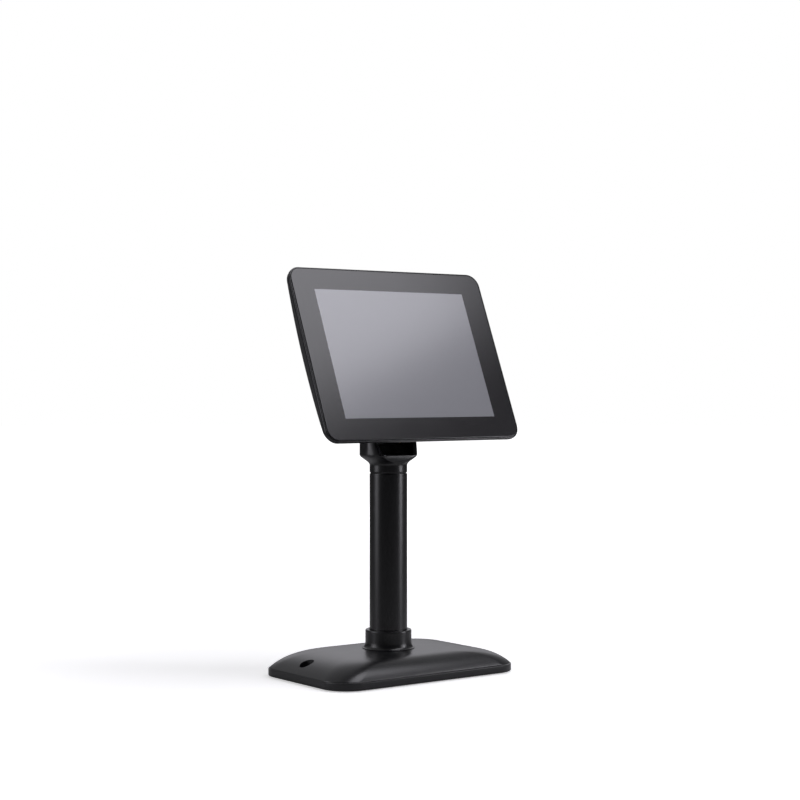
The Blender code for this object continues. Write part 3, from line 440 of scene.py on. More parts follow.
def surface(name, dark, light, rough, swing=0.06, metallic=0.0, skin=GRAIN, skin_values=None,
            bump=0.05, worn_and_highlit=None, dust=0.0, coat=0.0, coat_rough=0.1, ior=1.5):
    """A Principled finish: slow tone change, skin bump, lighter proud edges (partly rubbed wear,
    partly painted edge highlight) and settled dust.
    """
    made = bpy.data.materials.new(name)
    made.use_nodes = True
    tree = made.node_tree
    shader = tree.nodes["Principled BSDF"]
    shader.inputs["Metallic"].default_value = metallic
    shader.inputs["IOR"].default_value = ior
    shader.inputs["Coat Weight"].default_value = coat
    shader.inputs["Coat Roughness"].default_value = coat_rough
    skin_node = place_group(tree, skin, **(skin_values or {}))
    tone = skin_node.outputs["Tone"]
    colour = mix_colour(tree, tone, dark, light)
    roughness = math_node(tree, "ADD", math_node(tree, "MULTIPLY", tone, swing), rough - swing / 2)
    # Proud edges lightened in colour: partly rubbed wear, partly a painted highlight where the edge
    # catches light
    if worn_and_highlit is not None:
        mask = place_group(tree, EDGE).outputs["Mask"]
        colour = mix_colour(tree, mask, colour, worn_and_highlit)
        roughness = math_node(tree, "SUBTRACT", roughness, math_node(tree, "MULTIPLY", mask, 0.08))
    if dust:
        mask = place_group(tree, DUST, Amount=dust).outputs["Mask"]
        colour = mix_colour(tree, mask, colour, (0.30, 0.30, 0.30))
        roughness = math_node(tree, "ADD", roughness, math_node(tree, "MULTIPLY", mask, 0.4))
    wire(tree, colour, shader.inputs["Base Color"])
    wire(tree, roughness, shader.inputs["Roughness"])
    relief = tree.nodes.new("ShaderNodeBump")
    relief.inputs["Strength"].default_value = bump
    relief.inputs["Distance"].default_value = 0.1 * MM
    wire(tree, skin_node.outputs["Height"], relief.inputs["Height"])
    wire(tree, relief.outputs["Normal"], shader.inputs["Normal"])
    return made


# The edge colours given below lighten proud edges: partly rubbed wear, partly painted edge highlight
PAINT = surface("satin_black_paint", (0.0035, 0.0035, 0.0042), (0.0055, 0.0055, 0.0065), 0.30,
                bump=0.10, worn_and_highlit=(0.016, 0.016, 0.018), dust=0.05)
BASE_PAINT = surface("base_black_paint", (0.004, 0.004, 0.005), (0.007, 0.007, 0.008), 0.32,
                     bump=0.12, worn_and_highlit=(0.020, 0.020, 0.022), dust=0.10)
MOULDED = surface("moulded_black_shell", (0.008, 0.008, 0.009), (0.013, 0.013, 0.014), 0.46,
                  skin_values={"Scale": 1400.0}, bump=0.28, worn_and_highlit=(0.024, 0.024, 0.024), dust=0.10)
RIM_FINISH = surface("smooth_black_rim", (0.006, 0.006, 0.007), (0.010, 0.010, 0.011), 0.24,
                     bump=0.03, worn_and_highlit=(0.040, 0.040, 0.042))
KEY_FINISH = surface("key_black", (0.020, 0.020, 0.021), (0.028, 0.028, 0.029), 0.40,
                     bump=0.08, worn_and_highlit=(0.08, 0.08, 0.08))
PRINT = surface("black_print_under_glass", (0.006, 0.0055, 0.007), (0.007, 0.0065, 0.008), 0.22,
                swing=0.03, bump=0.008)
VIEW = surface("grey_view_area", (0.162, 0.164, 0.178), (0.172, 0.174, 0.188), 0.42,
               swing=0.03, bump=0.008, metallic=0.35, coat=1.0, coat_rough=0.16)
STEEL = surface("plated_steel", (0.42, 0.43, 0.44), (0.62, 0.63, 0.64), 0.34, swing=0.14,
                metallic=1.0, skin=BRUSHED, bump=0.10, worn_and_highlit=(0.75, 0.75, 0.76))
ZINC = surface("galvanised_sheet", (0.40, 0.41, 0.42), (0.60, 0.61, 0.60), 0.46, swing=0.2,
               metallic=1.0, skin_values={"Scale": 240.0, "Patch": 120.0}, bump=0.12)
BRASS = surface("plain_brass", (0.60, 0.44, 0.18), (0.74, 0.58, 0.28), 0.34, metallic=1.0,
                skin=BRUSHED, bump=0.10)
RUBBER = surface("black_rubber", (0.018, 0.018, 0.018), (0.034, 0.034, 0.034), 0.82,
                 skin_values={"Scale": 700.0}, bump=0.35, dust=0.2)
NYLON = surface("black_nylon", (0.010, 0.010, 0.010), (0.018, 0.018, 0.018), 0.50,
                skin_values={"Scale": 500.0}, bump=0.08)
FOAM = surface("foam_gasket", (0.025, 0.025, 0.025), (0.05, 0.05, 0.05), 0.95,
               skin_values={"Scale": 1800.0}, bump=0.6)
PANEL = surface("panel_frame_metal", (0.36, 0.37, 0.40), (0.50, 0.51, 0.54), 0.36, metallic=0.9,
                skin=BRUSHED, bump=0.06)
BOARD = surface("green_board", (0.010, 0.085, 0.040), (0.022, 0.14, 0.07), 0.40,
                skin_values={"Scale": 420.0, "Patch": 90.0}, bump=0.2, coat=0.4, coat_rough=0.2)
RIBBON = surface("amber_ribbon", (0.34, 0.25, 0.08), (0.50, 0.40, 0.16), 0.36,
                 skin=BRUSHED, bump=0.15)
GOLD = surface("gold_contacts", (0.72, 0.52, 0.20), (0.86, 0.66, 0.30), 0.25, metallic=1.0,
               skin=BRUSHED, bump=0.05)

SLOT_FINISH = {
    "satin_black": PAINT,
    "painted_base": BASE_PAINT,
    "moulded_black": MOULDED,
    "gloss_rim": RIM_FINISH,
    "dark_glass": PRINT,
    "panel_metal": PANEL,
    "steel": STEEL,
    "zinc": ZINC,
    "brass": BRASS,
    "rubber": RUBBER,
    "nylon": NYLON,
    "foam": FOAM,
    "board_green": BOARD,
    "ribbon": RIBBON,
}


def finish_frame():
    """Every CAD node gets its slot's finish, also those that a finer piece stands for."""
    for name, obj in frame["nodes"].items():
        obj.data.materials.clear()
        obj.data.materials.append(SLOT_FINISH[NODE_SLOT[name]])


# Base

DOME_POWER_X = 5.9
DOME_POWER_Y = 9.05
DOME_RINGS = 34
DOME_NARROWEST = 0.2
BASE_CORNER = 24.4 * MM
BASE_WALL = 2.5 * MM
BAND_HIGH = 6.4 * MM
BAND_STEP = 0.5 * MM
BRIM = 1.6 * MM
BRIM_RISE = 0.9 * MM
WELL_RADIUS = 6.3 * MM
WELL_BOSS_RADIUS = 8.6 * MM
WELL_FLOOR = 6.0 * MM
WELL_HOLE_RADIUS = 1.9 * MM


def dome_rings(half, foot, top, inset, brim=0.0):
    """Level outlines from band to crown, drawn in by inset, and by brim in front and behind."""
    rings = []
    for i in range(DOME_RINGS + 1):
        share = 1 - (1 - DOME_NARROWEST) * (i / DOME_RINGS) ** 1.6
        fall = share**DOME_POWER_X
        half_x = (half.x - inset) * share
        half_y = (half.y - inset - brim) * fall ** (1 / DOME_POWER_Y)
        outline = rounded_rectangle(half_x, half_y, BASE_CORNER - inset, steps=16)
        rings.append(at_height(outline, top - (top - foot) * fall))
    return rings


def band_rings(half, points):
    """Rings of the upright edge band, from points of (inset, height)."""
    return [
        at_height(rounded_rectangle(half.x - i, half.y - i, BASE_CORNER - i, steps=16), z)
        for i, z in points
    ]


def brim_rings(half, foot):
    """The hollow sweep between the band's top and the dome, widest at front and back."""
    rings = []
    for i in range(1, 6):
        turn = i / 6 * math.pi / 2
        inset = BAND_STEP * i / 6
        deep = BAND_STEP + BRIM * math.sin(turn)
        outline = rounded_rectangle(half.x - inset, half.y - deep, BASE_CORNER - inset, steps=16)
        rings.append(at_height(outline, foot + BRIM_RISE * (1 - math.cos(turn))))
    return rings


def base_shell():
    low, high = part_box("base_cover")
    half, middle = half_and_middle(low, high)
    level = Matrix.Translation((middle.x, middle.y, 0))
    crease = low.z + BAND_HIGH
    edge = ((0.6 * MM, low.z), (0.2 * MM, low.z + 0.15 * MM), (0, low.z + 0.6 * MM),
            (0, crease - 0.35 * MM), (0.12 * MM, crease - 0.1 * MM), (0.35 * MM, crease))
    rings = band_rings(half, edge) + brim_rings(half, crease)
    rings += dome_rings(half, crease + BRIM_RISE, high.z, BAND_STEP, BRIM)
    shell = lofted("base_shell", rings, level, crease=24)
    inner = dome_rings(half, crease - BASE_WALL, high.z - BASE_WALL, BASE_WALL)
    hollow = lofted("base_hollow", band_rings(half, ((BASE_WALL, -MM),)) + inner, level)
    wells = [opening_middle("fixing_well_left"), opening_middle("fixing_well_right")]
    boss_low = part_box("base_weight")[0].z
    bosses = [circle(WELL_BOSS_RADIUS, ROUND, place) for place in wells]
    combine(hollow, prisms("well_bosses", bosses, boss_low, high.z), "DIFFERENCE")
    settle(hollow, [bpy.data.objects["well_bosses"]])
    mouths = [circle(WELL_RADIUS, ROUND, place) for place in wells]
    holes = [circle(WELL_HOLE_RADIUS, PIN, place) for place in wells]
    cutters = [
        hollow,
        prisms("well_mouths", mouths, WELL_FLOOR, 2 * high.z),
        prisms("well_holes", holes, -MM, high.z),
    ]
    carve(shell, cutters, crease=24)
    stands_for(shell, "base_cover", BASE_PAINT)
    for i, (x, y) in enumerate(wells):
        well_lining(i + 1, x, y)


def opening_box(name):
    """Low and high corner of a stated opening."""
    for opening in frame["record"]["physics"]["openings"]:
        if opening["name"] == name:
            return opening["box_m"]
    raise ValueError(name)


def opening_middle(name):
    """Plan position of the middle of a stated opening."""
    low, high = opening_box(name)
    return (low[0] + high[0]) / 2, (low[1] + high[1]) / 2


def well_lining(number, x, y):
    """A thin steel eyelet seated round the screw hole in the well's floor."""
    inner = WELL_HOLE_RADIUS
    top = WELL_FLOOR + 0.6 * MM
    profile = [
        (inner, WELL_FLOOR),
        (inner + 1.7 * MM, WELL_FLOOR),
        (inner + 1.7 * MM, top - 0.25 * MM),
        (inner + 1.4 * MM, top),
        (inner + 0.3 * MM, top),
        (inner, top - 0.3 * MM),
    ]
    eyelet = turned(f"well_eyelet_{number}", profile, Matrix.Translation((x, y, 0)), PIN, True)
    extra(eyelet, "base_screw_1", STEEL)


def foot_pad(node):
    low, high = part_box(node)
    half, middle = half_and_middle(low, high)
    radius = half.x
    profile = [
        (radius, high.z),
        (radius, low.z + 0.35 * MM),
        (radius - 0.1 * MM, low.z + 0.12 * MM),
        (radius - 0.4 * MM, low.z),
        (radius - 2.0 * MM, low.z),
        (radius - 2.3 * MM, low.z + 0.25 * MM),
        (radius - 3.0 * MM, low.z + 0.25 * MM),
        (radius - 3.3 * MM, low.z),
    ]
    pad = turned(f"{node}_pad", profile, Matrix.Translation((middle.x, middle.y, 0)), 48)
    stands_for(pad, node, RUBBER)


# Pole and collar


def pole_shell():
    low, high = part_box("pole_tube")
    radius = (high.x - low.x) / 2
    wall = 2 * MM
    profile = [
        (radius, low.z),
        (radius, high.z - 0.4 * MM),
        (radius - 0.1 * MM, high.z - 0.12 * MM),
        (radius - 0.4 * MM, high.z),
        (radius - wall, high.z),
        (radius - wall, low.z),
    ]
    stands_for(turned("pole_shell", profile, POLE_AXIS, hollow=True), "pole_tube", PAINT)


COLLAR_FLARE = 2.7 * MM
COLLAR_FLARE_HIGH = 5.5 * MM


def collar_shell():
    low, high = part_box("pole_collar")
    foot = (high.x - low.x) / 2
    bore = (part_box("pole_tube")[1].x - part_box("pole_tube")[0].x) / 2 + 0.3 * MM
    body = foot - COLLAR_FLARE
    rise = COLLAR_FLARE_HIGH - 0.35 * MM
    flare = []
    for i in range(9):
        turn = i / 8 * math.pi / 2
        reach = foot - 0.25 * MM - body
        height = low.z + 0.35 * MM + rise * (1 - math.cos(turn))
        flare.append((body + reach * (1 - math.sin(turn)), height))
    profile = [
        (bore, low.z),
        (foot - 0.1 * MM, low.z),
        (foot, low.z + 0.12 * MM),
        *flare,
        (body, high.z - 0.9 * MM),
        (body - 0.12 * MM, high.z - 0.45 * MM),
        (body - 0.7 * MM, high.z),
        (bore + 0.3 * MM, high.z),
        (bore, high.z - 0.3 * MM),
    ]
    shell = turned("collar_shell", profile, POLE_AXIS, hollow=True, crease=28)
    stands_for(shell, "pole_collar", PAINT)


# Head

FLARE_STEPS = 24
FLARE_LATENESS = 1.1
FLARE_DROP = 8.9 * MM  # its foot below the cup's floor
FLARE_HIGH = 9.6 * MM
HEAD_FLAT_Y = -16.9 * MM
CUP_BORE = 22.0 * MM
EAR_RADIUS = 10.76 * MM
EAR_BACK_ANGLE = math.radians(40)
EAR_BOSS_RADIUS = 9.6 * MM
EAR_BOSS_INNER = 14.0 * MM
CAP_WELL_RADIUS = 7.5 * MM
CAP_WELL_FLOOR = 17.5 * MM
TILT_BORE = 4.3 * MM
SWIVEL_WELL_RADIUS = 8.3 * MM
SWIVEL_BORE = 5.3 * MM


def head_profile(floor, neck_low, top, neck, cup):
    """Radius and height of the head's outer side, from the neck up."""
    points = [(neck - 0.4 * MM, neck_low), (neck - 0.1 * MM, neck_low + 0.12 * MM)]
    points.append((neck, neck_low + 0.4 * MM))
    for i in range(FLARE_STEPS + 1):
        late = (i / FLARE_STEPS) ** FLARE_LATENESS
        swell = late * late * (3 - 2 * late)
        height = floor - FLARE_DROP + FLARE_HIGH * i / FLARE_STEPS
        points.append((neck + (cup - neck) * swell, height))
    return [*points, (cup, top)]


def head_side(floor, low, pivot):
    """The head's outline from its side: flat front, leaning ear and sloping back."""
    tilt = math.atan2(OUT.z, -OUT.y)
    tangent_y = pivot[0] - EAR_RADIUS * math.cos(tilt)
    tangent_z = pivot[1] + EAR_RADIUS * math.sin(tilt)
    foot_y = tangent_y - (tangent_z - floor) * math.tan(tilt)
    ear = arc(pivot, EAR_RADIUS, EAR_BACK_ANGLE, math.pi - tilt, 40)
    back_y = 30 * MM
    drop = (back_y - ear[0][0]) / math.tan(EAR_BACK_ANGLE)
    return [
        (HEAD_FLAT_Y, low),
        (back_y, low),
        (back_y, ear[0][1] - drop),
        *ear,
        (foot_y, floor),
        (HEAD_FLAT_Y, floor),
    ]


def head_shell():
    low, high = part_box("head_cup")
    cup = (high.x - low.x) / 2
    neck = (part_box("pole_tube")[1].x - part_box("pole_tube")[0].x) / 2
    floor = opening_box("cup_floor_gap")[0][2] - 0.3 * MM
    pivot = (PIVOT.y - POLE.y, PIVOT.z)
    top = high.z + MM
    shell = turned("head_shell", head_profile(floor, low.z, top, neck, cup), POLE_AXIS, 128)
    bore = turned("head_bore", [(CUP_BORE, floor), (CUP_BORE, top + MM)], POLE_AXIS, 128)
    bosses = []
    for side, way in (("left", -1), ("right", 1)):
        ends = sorted((way * EAR_BOSS_INNER, way * (CUP_BORE + MM)))
        bosses.append(rod_across(f"boss_{side}", EAR_BOSS_RADIUS, *ends, pivot, POLE_AXIS))
    carve(bore, bosses)
    side = side_block("head_side", head_side(floor, low.z - MM, pivot), 30 * MM, POLE_AXIS)
    combine(shell, side, "INTERSECT")
    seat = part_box("swivel_bolt")[1].z - 3.5 * MM
    far = cup + MM
    cutters = [
        bore,
        turned("swivel_well", [(SWIVEL_WELL_RADIUS, seat), (SWIVEL_WELL_RADIUS, top)], POLE_AXIS),
        turned("swivel_hole", [(SWIVEL_BORE, low.z - MM), (SWIVEL_BORE, top)], POLE_AXIS),
        rod_across("tilt_hole", TILT_BORE, -far, far, pivot, POLE_AXIS),
        rod_across("left_well", CAP_WELL_RADIUS, -far, -CAP_WELL_FLOOR, pivot, POLE_AXIS),
        rod_across("right_well", CAP_WELL_RADIUS, CAP_WELL_FLOOR, far, pivot, POLE_AXIS),
    ]
    for cutter in cutters:
        combine(shell, cutter, "DIFFERENCE")
    settle(shell, [side, *cutters], soften=0.35 * MM)
    stands_for(shell, "head_cup", PAINT)


def tilt_cap(node):
    """A push-in cap with a dished face and a prying notch."""
    low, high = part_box(node)
    half, middle = half_and_middle(low, high)
    way = 1 if middle.x > 0 else -1
    radius = half.y
    deep = 2 * half.x
    profile = [
        (radius - 0.2 * MM, 0),
        (radius, 0.2 * MM),
        (radius, deep - 0.5 * MM),
        (radius - 0.15 * MM, deep - 0.15 * MM),
        (radius - 0.5 * MM, deep),
        (radius - 1.4 * MM, deep),
        (radius - 1.8 * MM, deep - 0.35 * MM),
        (radius * 0.3, deep - 0.5 * MM),
    ]
    inner_face = way * min(abs(low.x), abs(high.x))
    turn = Matrix.Rotation(way * math.pi / 2, 4, "Y")
    matrix = Matrix.Translation((inner_face, middle.y, middle.z)) @ turn
    cap = turned(f"{node}_disc", profile, matrix, 64)
    slit = rounded_rectangle(1.2 * MM, 0.5 * MM, 0.4 * MM, (0, radius - 0.7 * MM), 4)
    notch = prisms("notch", [slit], deep - 0.6 * MM, deep + MM, matrix)
    carve(cap, [notch])
    stands_for(cap, node, MOULDED)


def socket_bolt():
    """The swivel bolt, with a rounded head and a hexagon socket."""
    low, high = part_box("swivel_bolt")
    head = (high.x - low.x) / 2
    seat = high.z - 3.2 * MM
    shank = 5 * MM
    profile = [
        (shank - 0.6 * MM, low.z),
        (shank, low.z + 0.6 * MM),
        (shank, seat),
        (head, seat),
        (head, high.z - 0.5 * MM),
        (head - 0.15 * MM, high.z - 0.15 * MM),
        (head - 0.5 * MM, high.z),
    ]
    bolt = turned("swivel_socket_bolt", profile, POLE_AXIS, 64)
    hexagon = prisms("hexagon", [circle(4.6 * MM, 6)], high.z - 2.4 * MM, high.z + MM, POLE_AXIS)
    carve(bolt, [hexagon])
    stands_for(bolt, "swivel_bolt", STEEL)


# Screws


def screw_body(name, head, head_high, shank, length, matrix):
    """A pan-head screw with a cross recess. Its head points down Z and its seat is at height 0."""
    crown = [(head * math.cos(a), -0.35 * head_high - 0.65 * head_high * math.sin(a))
             for a in (i * math.pi / 2 / 7 for i in range(7))]
    profile = [
        (shank * 0.6, length),
        (shank, length - 0.4 * shank),
        (shank, 0),
        (head - 0.1 * MM, 0),
        (head, -0.1 * MM),
        *crown,
    ]
    screw = turned(name, profile, matrix, PIN)
    arm = head * 0.55
    thin = head * 0.16
    deep = -0.45 * head_high
    first = prisms("recess_a", [rounded_rectangle(arm, thin, thin / 2, steps=2)],
                   -2 * head_high, deep, matrix)
    second = prisms("recess_b", [rounded_rectangle(thin, arm, thin / 2, steps=2)],
                    -2 * head_high, deep, matrix)
    return carve(screw, [first, second])


def all_screws():
    """Every screw of the base, the arm and the rear cover, placed from its CAD node."""
    kinds = (
        ("base_screw", Matrix.Identity(4), 0.8 * MM, 1.5 * MM),
        ("arm_screw", SCREEN_TURN, 2.2 * MM, 2.0 * MM),
        ("case_screw", SCREEN_TURN, 1.8 * MM, 1.5 * MM),
    )
    for kind, turn, head_high, shank in kinds:
        for number in range(1, 5):
            node = f"{kind}_{number}"
            low, high = span(node, turn)
            half, middle = half_and_middle(low, high)
            seat = low.z + head_high
            matrix = turn @ Matrix.Translation((middle.x, middle.y, seat))
            made = screw_body(f"{node}_fine", half.x, head_high, shank, high.z - seat, matrix)
            stands_for(made, node, STEEL)


# Arm

ARM_WEB_HALF_X = 9.0 * MM
ARM_BARREL_RADIUS = 8.0 * MM
ARM_PLATE_THICK = 3.0 * MM
ARM_PLATE_CORNER = 6.0 * MM
ARM_WEB_TOP = -22.0 * MM


def screw_places(kind):
    """Where the four screws of a kind stand, in the screen's axes."""
    places = []
    for number in range(1, 5):
        _, middle = half_and_middle(*span(f"{kind}_{number}", SCREEN))
        places.append((middle.x, middle.y))
    return places


def arm_shell():
    low, high = span("hinge_arm", SCREEN)
    back = high.z
    inner = back - ARM_PLATE_THICK
    plate_low = max(y for _, y in screw_places("arm_screw")[::2]) - 11 * MM
    plate_high = high.y
    middle = (plate_low + plate_high) / 2
    half_y = (plate_high - plate_low) / 2
    outline = rounded_rectangle(high.x, half_y, ARM_PLATE_CORNER, (0, middle), 10)
    arm = prisms("arm_shell", [outline], inner, back, SCREEN)
    pivot = (HINGE.y, HINGE.z)
    reach = ARM_BARREL_RADIUS * 0.8
    web = [
        (plate_low + 3 * MM, inner + MM),
        (pivot[0] - reach, pivot[1]),
        (pivot[0] + 0.6 * reach, pivot[1] - 0.6 * reach),
        (ARM_WEB_TOP, inner + MM),
    ]
    half = 12.4 * MM
    tools = [
        side_block("web", web, ARM_WEB_HALF_X, SCREEN),
        rod_across("barrel", ARM_BARREL_RADIUS, -half, half, pivot, SCREEN, 64),
        rod_across("barrel_bore", TILT_BORE, -2 * half, 2 * half, pivot, SCREEN, 48),
        prisms("plate_holes", [circle(2.3 * MM, PIN, p) for p in screw_places("arm_screw")],
               inner - MM, back + MM, SCREEN),
    ]
    for tool, operation in zip(tools, ("UNION", "UNION", "DIFFERENCE", "DIFFERENCE")):
        combine(arm, tool, operation)
    settle(arm, tools, soften=0.5 * MM)
    stands_for(arm, "hinge_arm", PAINT)


# Display

PANEL_CORNER = 12.0 * MM
RIM_WALL = 1.1 * MM
GLASS_INSET = 1.4 * MM
VIEW_HALF_X = 81.0 * MM
VIEW_HALF_Y = 60.0 * MM
# Stands in for the panel's depth under the glass, and is true only from the front left
VIEW_SHIFT = (-0.8 * MM, 0.1 * MM)
COVER_INSET = 0.5 * MM
COVER_EDGE_DEPTH = 5.0 * MM
COVER_ARCH = 4.2 * MM
COVER_ARCH_REACH = 76.0 * MM
COVER_WALL = 2.2 * MM
PLATEAU_HALF_X = 66.0 * MM
PLATEAU_HALF_Y = 46.0 * MM
PLATEAU_CORNER = 12.0 * MM
COVER_RINGS = 26
VENT_COUNT = 9
VENT_PITCH = 7.0 * MM
VENT_WIDTH = 2.4 * MM
VENT_LOW = 49.0 * MM
VENT_HIGH = 65.0 * MM
SOCKET_GAP = 0.3 * MM


def panel_outline(half, inset, steps=16):
    return rounded_rectangle(half.x - inset, half.y - inset, PANEL_CORNER - inset, steps=steps)


def rim_shell():
    low, high = span("display_rim", SCREEN)
    half, _ = half_and_middle(low, high)
    lcd_half, _ = half_and_middle(*span("lcd_panel", SCREEN))
    ledge = span("touch_glass", SCREEN)[0].z - 0.3 * MM
    steps = 16
    window = rounded_rectangle(lcd_half.x + MM, lcd_half.y + MM, 3 * MM, steps=steps)
    points = (
        (0, low.z + 0.3 * MM),
        (0, high.z - 0.75 * MM),
        (0.10 * MM, high.z - 0.42 * MM),
        (0.35 * MM, high.z - 0.12 * MM),
        (0.65 * MM, high.z),
        (RIM_WALL - 0.12 * MM, high.z),
        (RIM_WALL, high.z - 0.12 * MM),
        (RIM_WALL, ledge),
    )
    rings = [at_height(panel_outline(half, inset), z) for inset, z in points]
    rings += [at_height(window, ledge), at_height(window, low.z)]
    rings.append(at_height(panel_outline(half, 0.3 * MM), low.z))
    stands_for(lofted("rim_shell", rings, SCREEN, wrap=True), "display_rim", RIM_FINISH)


def glass_pane():
    """Touch glass with softened edges. The view area is its own face, with its own finish."""
    low, high = span("touch_glass", SCREEN)
    half, _ = half_and_middle(low, high)
    outer = (
        (0.25 * MM, low.z),
        (0, low.z + 0.2 * MM),
        (0, high.z - 0.45 * MM),
        (0.08 * MM, high.z - 0.2 * MM),
        (0.25 * MM, high.z - 0.05 * MM),
        (0.5 * MM, high.z),
        (0.9 * MM, high.z),
    )

    def build(work):
        corner = PANEL_CORNER - GLASS_INSET
        rings = [
            at_height(rounded_rectangle(half.x - i, half.y - i, corner - i, steps=16), z)
            for i, z in outer
        ]
        view = rounded_rectangle(VIEW_HALF_X, VIEW_HALF_Y, 0.4 * MM, VIEW_SHIFT, 16)
        rings.append(at_height(view, high.z))
        add_rings(work, rings, finish=1)

    pane = shaped("glass_pane", build, SCREEN)
    stands_for(pane, "touch_glass", PRINT)
    pane.data.materials.append(VIEW)


def cover_rings(half, depth, wall, front):
    """Rings from the cover's front edge, over its bowed side, to the flat of its back."""
    inset = COVER_INSET + wall
    splits = (8, 24)
    outer = rounded_rectangle(
        half.x - inset, half.y - inset, PANEL_CORNER - inset, (0, 0), 12, splits
    )
    flat = rounded_rectangle(
        PLATEAU_HALF_X - wall / 2, PLATEAU_HALF_Y - wall / 2, PLATEAU_CORNER, (0, 0), 12, splits
    )
    rings = [at_height(outer, front)]
    for i in range(COVER_RINGS + 1):
        share = i / COVER_RINGS
        rise = 1 - (1 - share) ** 2
        ring = []
        for (x, y), (flat_x, flat_y) in zip(outer, flat):
            bow = max(0.0, 1 - (y / COVER_ARCH_REACH) ** 2)
            edge = COVER_EDGE_DEPTH + COVER_ARCH * bow
            z = wall - edge - (depth - edge) * rise
            ring.append((x + (flat_x - x) * share, y + (flat_y - y) * share, z))
        rings.append(ring)
    return rings


def cover_shell():
    low, high = span("rear_cover", SCREEN)
    half, _ = half_and_middle(*span("display_rim", SCREEN))
    depth = -low.z
    shell = lofted("cover_shell", cover_rings(half, depth, 0, high.z), SCREEN, crease=24)
    hollow = lofted("cover_hollow", cover_rings(half, depth, COVER_WALL, high.z + MM), SCREEN)
    case_places = screw_places("case_screw")
    chassis_back = span("case_screw_1", SCREEN)[1].z - 1.8 * MM
    column_plans = [circle(5 * MM, 48, p) for p in case_places]
    columns = prisms("columns", column_plans, -depth, chassis_back, SCREEN)
    carve(hollow, [columns])
    seat = span("case_screw_1", SCREEN)[0].z + 2.1 * MM
    far = -depth - MM
    deep = -depth + COVER_WALL + MM
    vents = []
    vent_half_x = VENT_WIDTH / 2
    vent_half_y = (VENT_HIGH - VENT_LOW) / 2
    for i in range(VENT_COUNT):
        x = (i - (VENT_COUNT - 1) / 2) * VENT_PITCH
        middle = (x, (VENT_LOW + VENT_HIGH) / 2)
        vents.append(rounded_rectangle(vent_half_x, vent_half_y, vent_half_x, middle, 8))
    windows = []
    for node in ("video_socket", "data_socket", "power_socket"):
        socket_half, middle = half_and_middle(*span(node, SCREEN))
        half_x = socket_half.x + SOCKET_GAP
        half_y = socket_half.y + SOCKET_GAP
        place = (middle.x, middle.y)
        windows.append(rounded_rectangle(half_x, half_y, 0.8 * MM, place, 6))
    keys = []
    for node in KEYS:
        _, middle = half_and_middle(*span(node, SCREEN))
        keys.append(circle(KEY_HOLE_RADIUS, 48, (middle.x, middle.y)))
    arm_holes = [circle(2.3 * MM, PIN, p) for p in screw_places("arm_screw")]
    cutters = [
        hollow,
        prisms("case_wells", [circle(3.3 * MM, 48, p) for p in case_places], far, seat, SCREEN),
        prisms("case_holes", [circle(1.8 * MM, PIN, p) for p in case_places], far, 0, SCREEN),
        prisms("vents", vents, far, high.z, SCREEN),
        prisms("windows", windows + keys + arm_holes, far, deep, SCREEN),
    ]
    carve(shell, cutters, crease=24)
    stands_for(shell, "rear_cover", MOULDED)


# Keys and sockets

KEYS = ("menu_key", "minus_key", "plus_key", "power_key")
KEY_RADIUS = 3.5 * MM
KEY_HOLE_RADIUS = 3.8 * MM
KEY_FLANGE = 0.8 * MM


def key_cap(node):
    """A round key with a retaining flange, a rounded rim and a dished face."""
    low, high = span(node, SCREEN)
    half, middle = half_and_middle(low, high)
    face = low.z
    profile = [
        (half.x, high.z),
        (half.x, high.z - KEY_FLANGE),
        (KEY_RADIUS, high.z - KEY_FLANGE),
        (KEY_RADIUS, face + 0.5 * MM),
        (KEY_RADIUS - 0.1 * MM, face + 0.2 * MM),
        (KEY_RADIUS - 0.4 * MM, face),
        (KEY_RADIUS - 0.8 * MM, face + 0.05 * MM),
        (KEY_RADIUS * 0.5, face + 0.25 * MM),
        (KEY_RADIUS * 0.15, face + 0.32 * MM),
    ]
    cap = turned(f"{node}_cap", profile, SCREEN @ Matrix.Translation((middle.x, middle.y, 0)), 48)
    stands_for(cap, node, KEY_FINISH)


def contacts(node, count, pitch, wide):
    """Gold strips along both faces of a socket's tongue."""
    low, high = span(node, SCREEN)
    _, middle = half_and_middle(low, high)
    tip = low.z + 1.3 * MM
    outlines = []
    for i in range(count):
        x = middle.x + (i - (count - 1) / 2) * pitch
        for y in (middle.y - 0.68 * MM, middle.y + 0.68 * MM):
            outlines.append(rounded_rectangle(wide / 2, 0.08 * MM, 0.04 * MM, (x, y), 2))
    strips = prisms(f"{node}_contacts", outlines, tip, tip + 6 * MM, SCREEN)
    extra(strips, node, GOLD)


# Stage

LOOK = Vector((0.60017573, 0.79980359, -0.01016446))
CAMERA = Vector((-0.94072, -1.26734, 0.25828))
LENS = 80.18
AIM = Vector((0, 0, 0.2))
FLOOR_RADIUS = 9.0


def camera():
    data = bpy.data.cameras.new("camera")
    data.lens = LENS
    data.sensor_width = 36.0
    data.clip_end = 50
    obj = bpy.data.objects.new("camera", data)
    obj.location = CAMERA
    obj.rotation_euler = LOOK.to_track_quat("-Z", "Y").to_euler()
    bpy.context.scene.collection.objects.link(obj)
    bpy.context.scene.camera = obj


# A faint blue in the daylight-balanced lamps
COOL = (0.95, 0.94, 1.0)


def softbox(name, azimuth, elevation, distance, width, height, radiance):
    """An area light turned to the object. Azimuth 0 is in front, at -Y, and 90 on the +X side."""
    data = bpy.data.lights.new(name, "AREA")
    data.shape = "RECTANGLE"
    data.size = width
    data.size_y = height
    data.energy = radiance * math.pi * width * height
    data.color = COOL
    obj = bpy.data.objects.new(name, data)
    a, e = math.radians(azimuth), math.radians(elevation)
    away = Vector((math.sin(a) * math.cos(e), -math.cos(a) * math.cos(e), math.sin(e)))
    obj.location = AIM + away * distance
    obj.rotation_euler = away.to_track_quat("Z", "Y").to_euler()
    obj.visible_camera = False
    bpy.context.scene.collection.objects.link(obj)


